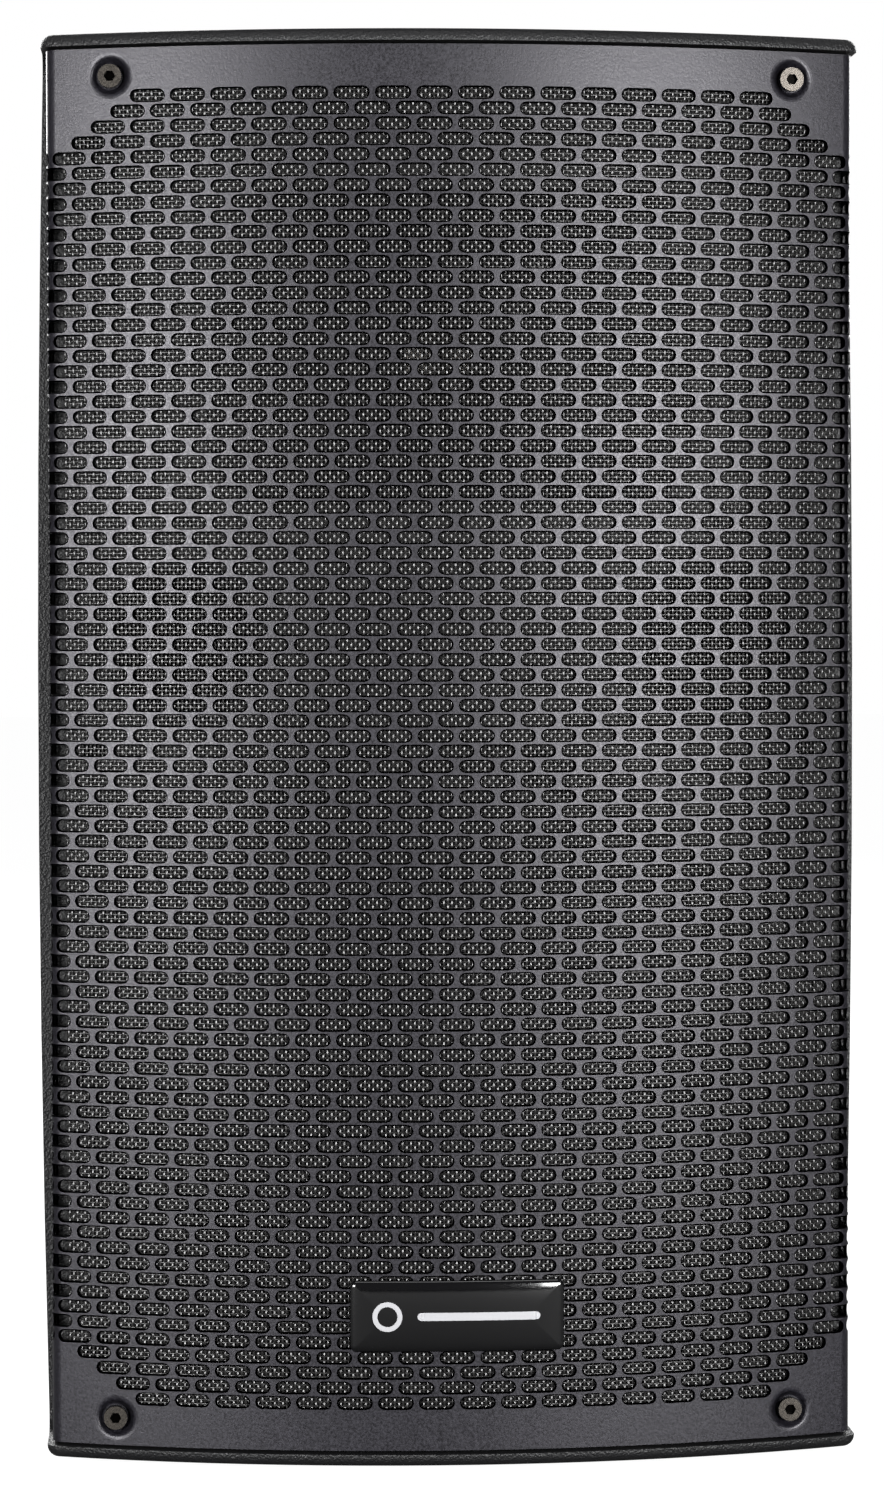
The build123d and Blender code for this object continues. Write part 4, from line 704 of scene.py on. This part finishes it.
# ------------------------------------------------------------ DAMPING PADS
# Polyester wadding stapled inside the side walls: a soft white fleece, crowned where nothing holds it
# and drawn in round its edges.
fleece = surfaced("polyester_wadding", 3.0, ("#b9b8b3", "#dddcd7"), (0.92, 1.0), 1.2, settings={"Detail": 9.0,
                  "Roughness": 0.8, "Distortion": 2.0})
fleece.node_tree.nodes["Principled BSDF"].inputs["Sheen Weight"].default_value = 0.4
pad_low, pad_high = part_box("damping_pads")
PAD_THICK = 14.0 * MM
TUFTS = 40
for side, name in ((-1, "damping_pad_left"), (1, "damping_pad_right")):
    points, faces = [], []
    wall = pad_high[0] if side > 0 else pad_low[0]
    for i in range(TUFTS + 1):
        for j in range(TUFTS + 1):
            u, v = i / TUFTS, j / TUFTS
            crowned = (sin(pi * u) * sin(pi * v)) ** 0.35
            tuft = 0.90 + 0.10 * sin(37 * u + 3 * sin(9 * v)) * sin(31 * v + 2 * sin(11 * u))
            pull = 1.5 * MM
            points.append((wall - side * PAD_THICK * crowned * tuft,
                           pad_low[1] + pull + (pad_high[1] - pad_low[1] - 2 * pull) * u,
                           pad_low[2] + pull + (pad_high[2] - pad_low[2] - 2 * pull) * v))
    row = TUFTS + 1
    for i in range(TUFTS):
        for j in range(TUFTS):
            face = (i * row + j, i * row + j + 1, (i + 1) * row + j + 1, (i + 1) * row + j)
            faces.append(face if side > 0 else face[::-1])
    edge = [j for j in range(row)] + [i * row + TUFTS for i in range(1, row)]
    edge += [TUFTS * row + j for j in range(TUFTS - 1, -1, -1)] + [i * row for i in range(TUFTS - 1, 0, -1)]
    faces.append(tuple(edge) if side < 0 else tuple(edge[::-1]))
    pad = build(name, points, faces, fleece)
    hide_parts("damping_pads")
    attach(pad, "cabinet")


# ------------------------------------------------------------ AMPLIFIER PANEL
# 2 mm steel, textured black powder coat, screwed to a foam gasket with the heatsink on its face.
# The heatsink is extruded aluminium, anodised black, with drawing lines along its fins.
panel_coat = surfaced("textured_black_powder_coat", 0.6, ("#111113", "#1f1f22"), (0.42, 0.60), 0.05, ior=1.5)
finish(panel_coat, "amp_panel")
finish(surfaced("closed_cell_foam", 0.7, ("#161616", "#262626"), (0.85, 0.95), 0.06), "amp_gasket")
finish(surfaced("black_anodised_aluminium", 0.5, ("#161618", "#242427"), (0.30, 0.48), 0.02, metallic=1.0,
                stretch=(1, 1, 0.02)), "heatsink")
# nylon shells of the sockets, moulded smooth
nylon = surfaced("moulded_nylon", 0.9, ("#0f0f10", "#19191b"), (0.32, 0.45), 0.01, ior=1.53)
finish(nylon, "combo_sockets", "link_socket", "mains_inlet", "fuse_drawer", "rocker_frame", "rocker_button")
finish(surfaced("bright_nickel_screws", 0.4, ("#a3a19b", "#bcbab4"), (0.20, 0.30), 0.01, metallic=1.0),
       "connector_screws")
finish(surfaced("nickelled_brass_blades", 0.5, ("#b5a888", "#cbbf9f"), (0.20, 0.32), 0.01, metallic=1.0),
       "inlet_pins")
# push tabs in a paler acetal, and its two latching buttons
finish(surfaced("grey_acetal", 0.7, ("#3c3d40", "#4a4b4e"), (0.36, 0.48), 0.01, ior=1.48),
       "latch_tab_1", "latch_tab_2", "line_button_1", "line_button_2")

panel_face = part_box("amp_panel")[1][1]


def middle(node):
    low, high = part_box(node)
    return (low[0] + high[0]) / 2, (low[2] + high[2]) / 2


# printed scales: eleven ticks round each knob, and frames round the sockets and the tone controls
white_ink = surfaced("white_screen_ink", 0.3, ("#c4c4c2", "#d6d6d4"), (0.55, 0.70), 0.004)
TICK_IN, TICK_OUT, TICK_HALF = 9.2 * MM, 11.2 * MM, 0.22 * MM
FRAME_LINE = 0.45 * MM
strokes = []
knobs = ["knob_treble", "knob_bass", "knob_level_1", "knob_level_2", "knob_master"]
for knob in knobs:
    x, z = middle(knob)
    for i in range(11):
        a = radians(240 - 30 * i)
        out = TICK_OUT + (0.9 * MM if i in (0, 5, 10) else 0)
        dx, dz = np.cos(a), sin(a)
        ends = (x + TICK_IN * dx, z + TICK_IN * dz), (x + out * dx, z + out * dz)
        strokes.append(tuple([(px - side * TICK_HALF * dz, pz + side * TICK_HALF * dx) for px, pz in ends]
                             for side in (1, -1)))


def rounded_frame(x0, x1, z0, z1, corner, grow):
    out = []
    for cx, cz, first in ((x1 - corner, z1 - corner, 0), (x0 + corner, z1 - corner, 90),
                          (x0 + corner, z0 + corner, 180), (x1 - corner, z0 + corner, 270)):
        out += [(cx + (corner + grow) * np.cos(radians(first + 15 * i)),
                 cz + (corner + grow) * sin(radians(first + 15 * i))) for i in range(7)]
    return out + out[:1]


socket_low, socket_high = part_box("combo_sockets")
link_x, link_z = middle("link_socket")
PLATE_HALF = 13 * MM         # half the width of a socket's own plate
for x in (socket_low[0] + PLATE_HALF, socket_high[0] - PLATE_HALF, link_x):
    under = (39.5 if x < link_x else 19.5) * MM      # the inputs' frames take in their buttons
    frame_box = (x - 17.5 * MM, x + 17.5 * MM, link_z - under, link_z + 19.5 * MM, 3 * MM)
    strokes.append((rounded_frame(*frame_box, 0), rounded_frame(*frame_box, FRAME_LINE)))
tone_low, tone_high = middle("knob_treble"), middle("knob_bass")
frame_box = (tone_low[0] - 16 * MM, tone_high[0] + 16 * MM,
             tone_low[1] - 12.5 * MM, tone_low[1] + 12.2 * MM, 3 * MM)
strokes.append((rounded_frame(*frame_box, 0), rounded_frame(*frame_box, FRAME_LINE)))
printed("panel_print", strokes, white_ink, lambda x, z: (x, panel_face + INK, z))


# ------------------------------------------------------------ CONTROLS AND LAMPS
# Knobs moulded in soft-touch ABS, each with an inlaid pointer line, and three lamp lenses in tinted
# acrylic: green for power, amber for signal, red for limit.
finish(surfaced("soft_touch_abs", 0.8, ("#141416", "#1f1f21"), (0.48, 0.62), 0.01, ior=1.5), *knobs)
for knob in knobs:
    x, z = middle(knob)
    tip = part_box(knob)[1][1]
    y0, y1, half, near, far = tip - 0.9 * MM, tip - 0.02 * MM, 0.42 * MM, 1.1 * MM, 5.0 * MM
    corners = [(x + sx * half, y, z + dz) for y in (y0, y1)
               for sx, dz in ((-1, near), (1, near), (1, far), (-1, far))]
    faces = [(0, 1, 2, 3), (7, 6, 5, 4), (1, 0, 4, 5), (2, 1, 5, 6), (3, 2, 6, 7), (0, 3, 7, 4)]
    pointer = build(knob + "_pointer", corners, faces, white_ink)
    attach(pointer, knob)
lens, tree, shader = start("tinted_acrylic")
shader.inputs["Roughness"].default_value = 0.12
shader.inputs["IOR"].default_value = 1.49
place = add(tree, "ShaderNodeTexCoord")
split = add(tree, "ShaderNodeSeparateXYZ", {"Vector": place.outputs["Object"]})
led_low, led_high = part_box("status_leds")
across = add(tree, "ShaderNodeMapRange", {"Value": split.outputs["X"], "From Min": led_low[0],
                                          "From Max": led_high[0]})
tints = add(tree, "ShaderNodeValToRGB", {"Fac": across.outputs["Result"]})
tints.color_ramp.interpolation = "CONSTANT"
tints.color_ramp.elements[0].color = linear("#7c1612")
tints.color_ramp.elements[1].position, tints.color_ramp.elements[1].color = 0.66, linear("#1f7a2c")
amber = tints.color_ramp.elements.new(0.33)
amber.color = linear("#a8701a")
tree.links.new(tints.outputs["Color"], shader.inputs["Base Color"])
finish(lens, "status_leds")


# ------------------------------------------------------------ ELECTRONICS
# Behind the panel: glass-epoxy boards with green solder mask, sleeved capacitors, the controls' metal
# cans, and a toroidal transformer wound with yellow polyester tape.
# the mask's tracks show as bricks 4 mm long
finish(surfaced("green_solder_mask", 4.0, ("#12401f", "#1d5a2e"), (0.25, 0.40), 0.03,
                pattern="ShaderNodeTexBrick",
                settings={"Mortar Size": 0.06}, output="Fac", ior=1.55), "input_board", "power_board")
finish(surfaced("pvc_sleeve", 6.0, ("#15171f", "#20232d"), (0.22, 0.34), 0.01, ior=1.54),
       "reservoir_capacitors")
finish(surfaced("tinned_steel_cans", 1.0, ("#8b8c8c", "#a2a3a3"), (0.34, 0.48), 0.01, metallic=1.0),
       "pot_bodies")
# tape laid in turns 6 mm apart round the ring
finish(surfaced("polyester_tape_winding", 6.0 / 0.314, ("#a8861f", "#cda73a"), (0.30, 0.44), 0.10,
                pattern="ShaderNodeTexWave",
                bands_direction="DIAGONAL"), "mains_transformer")
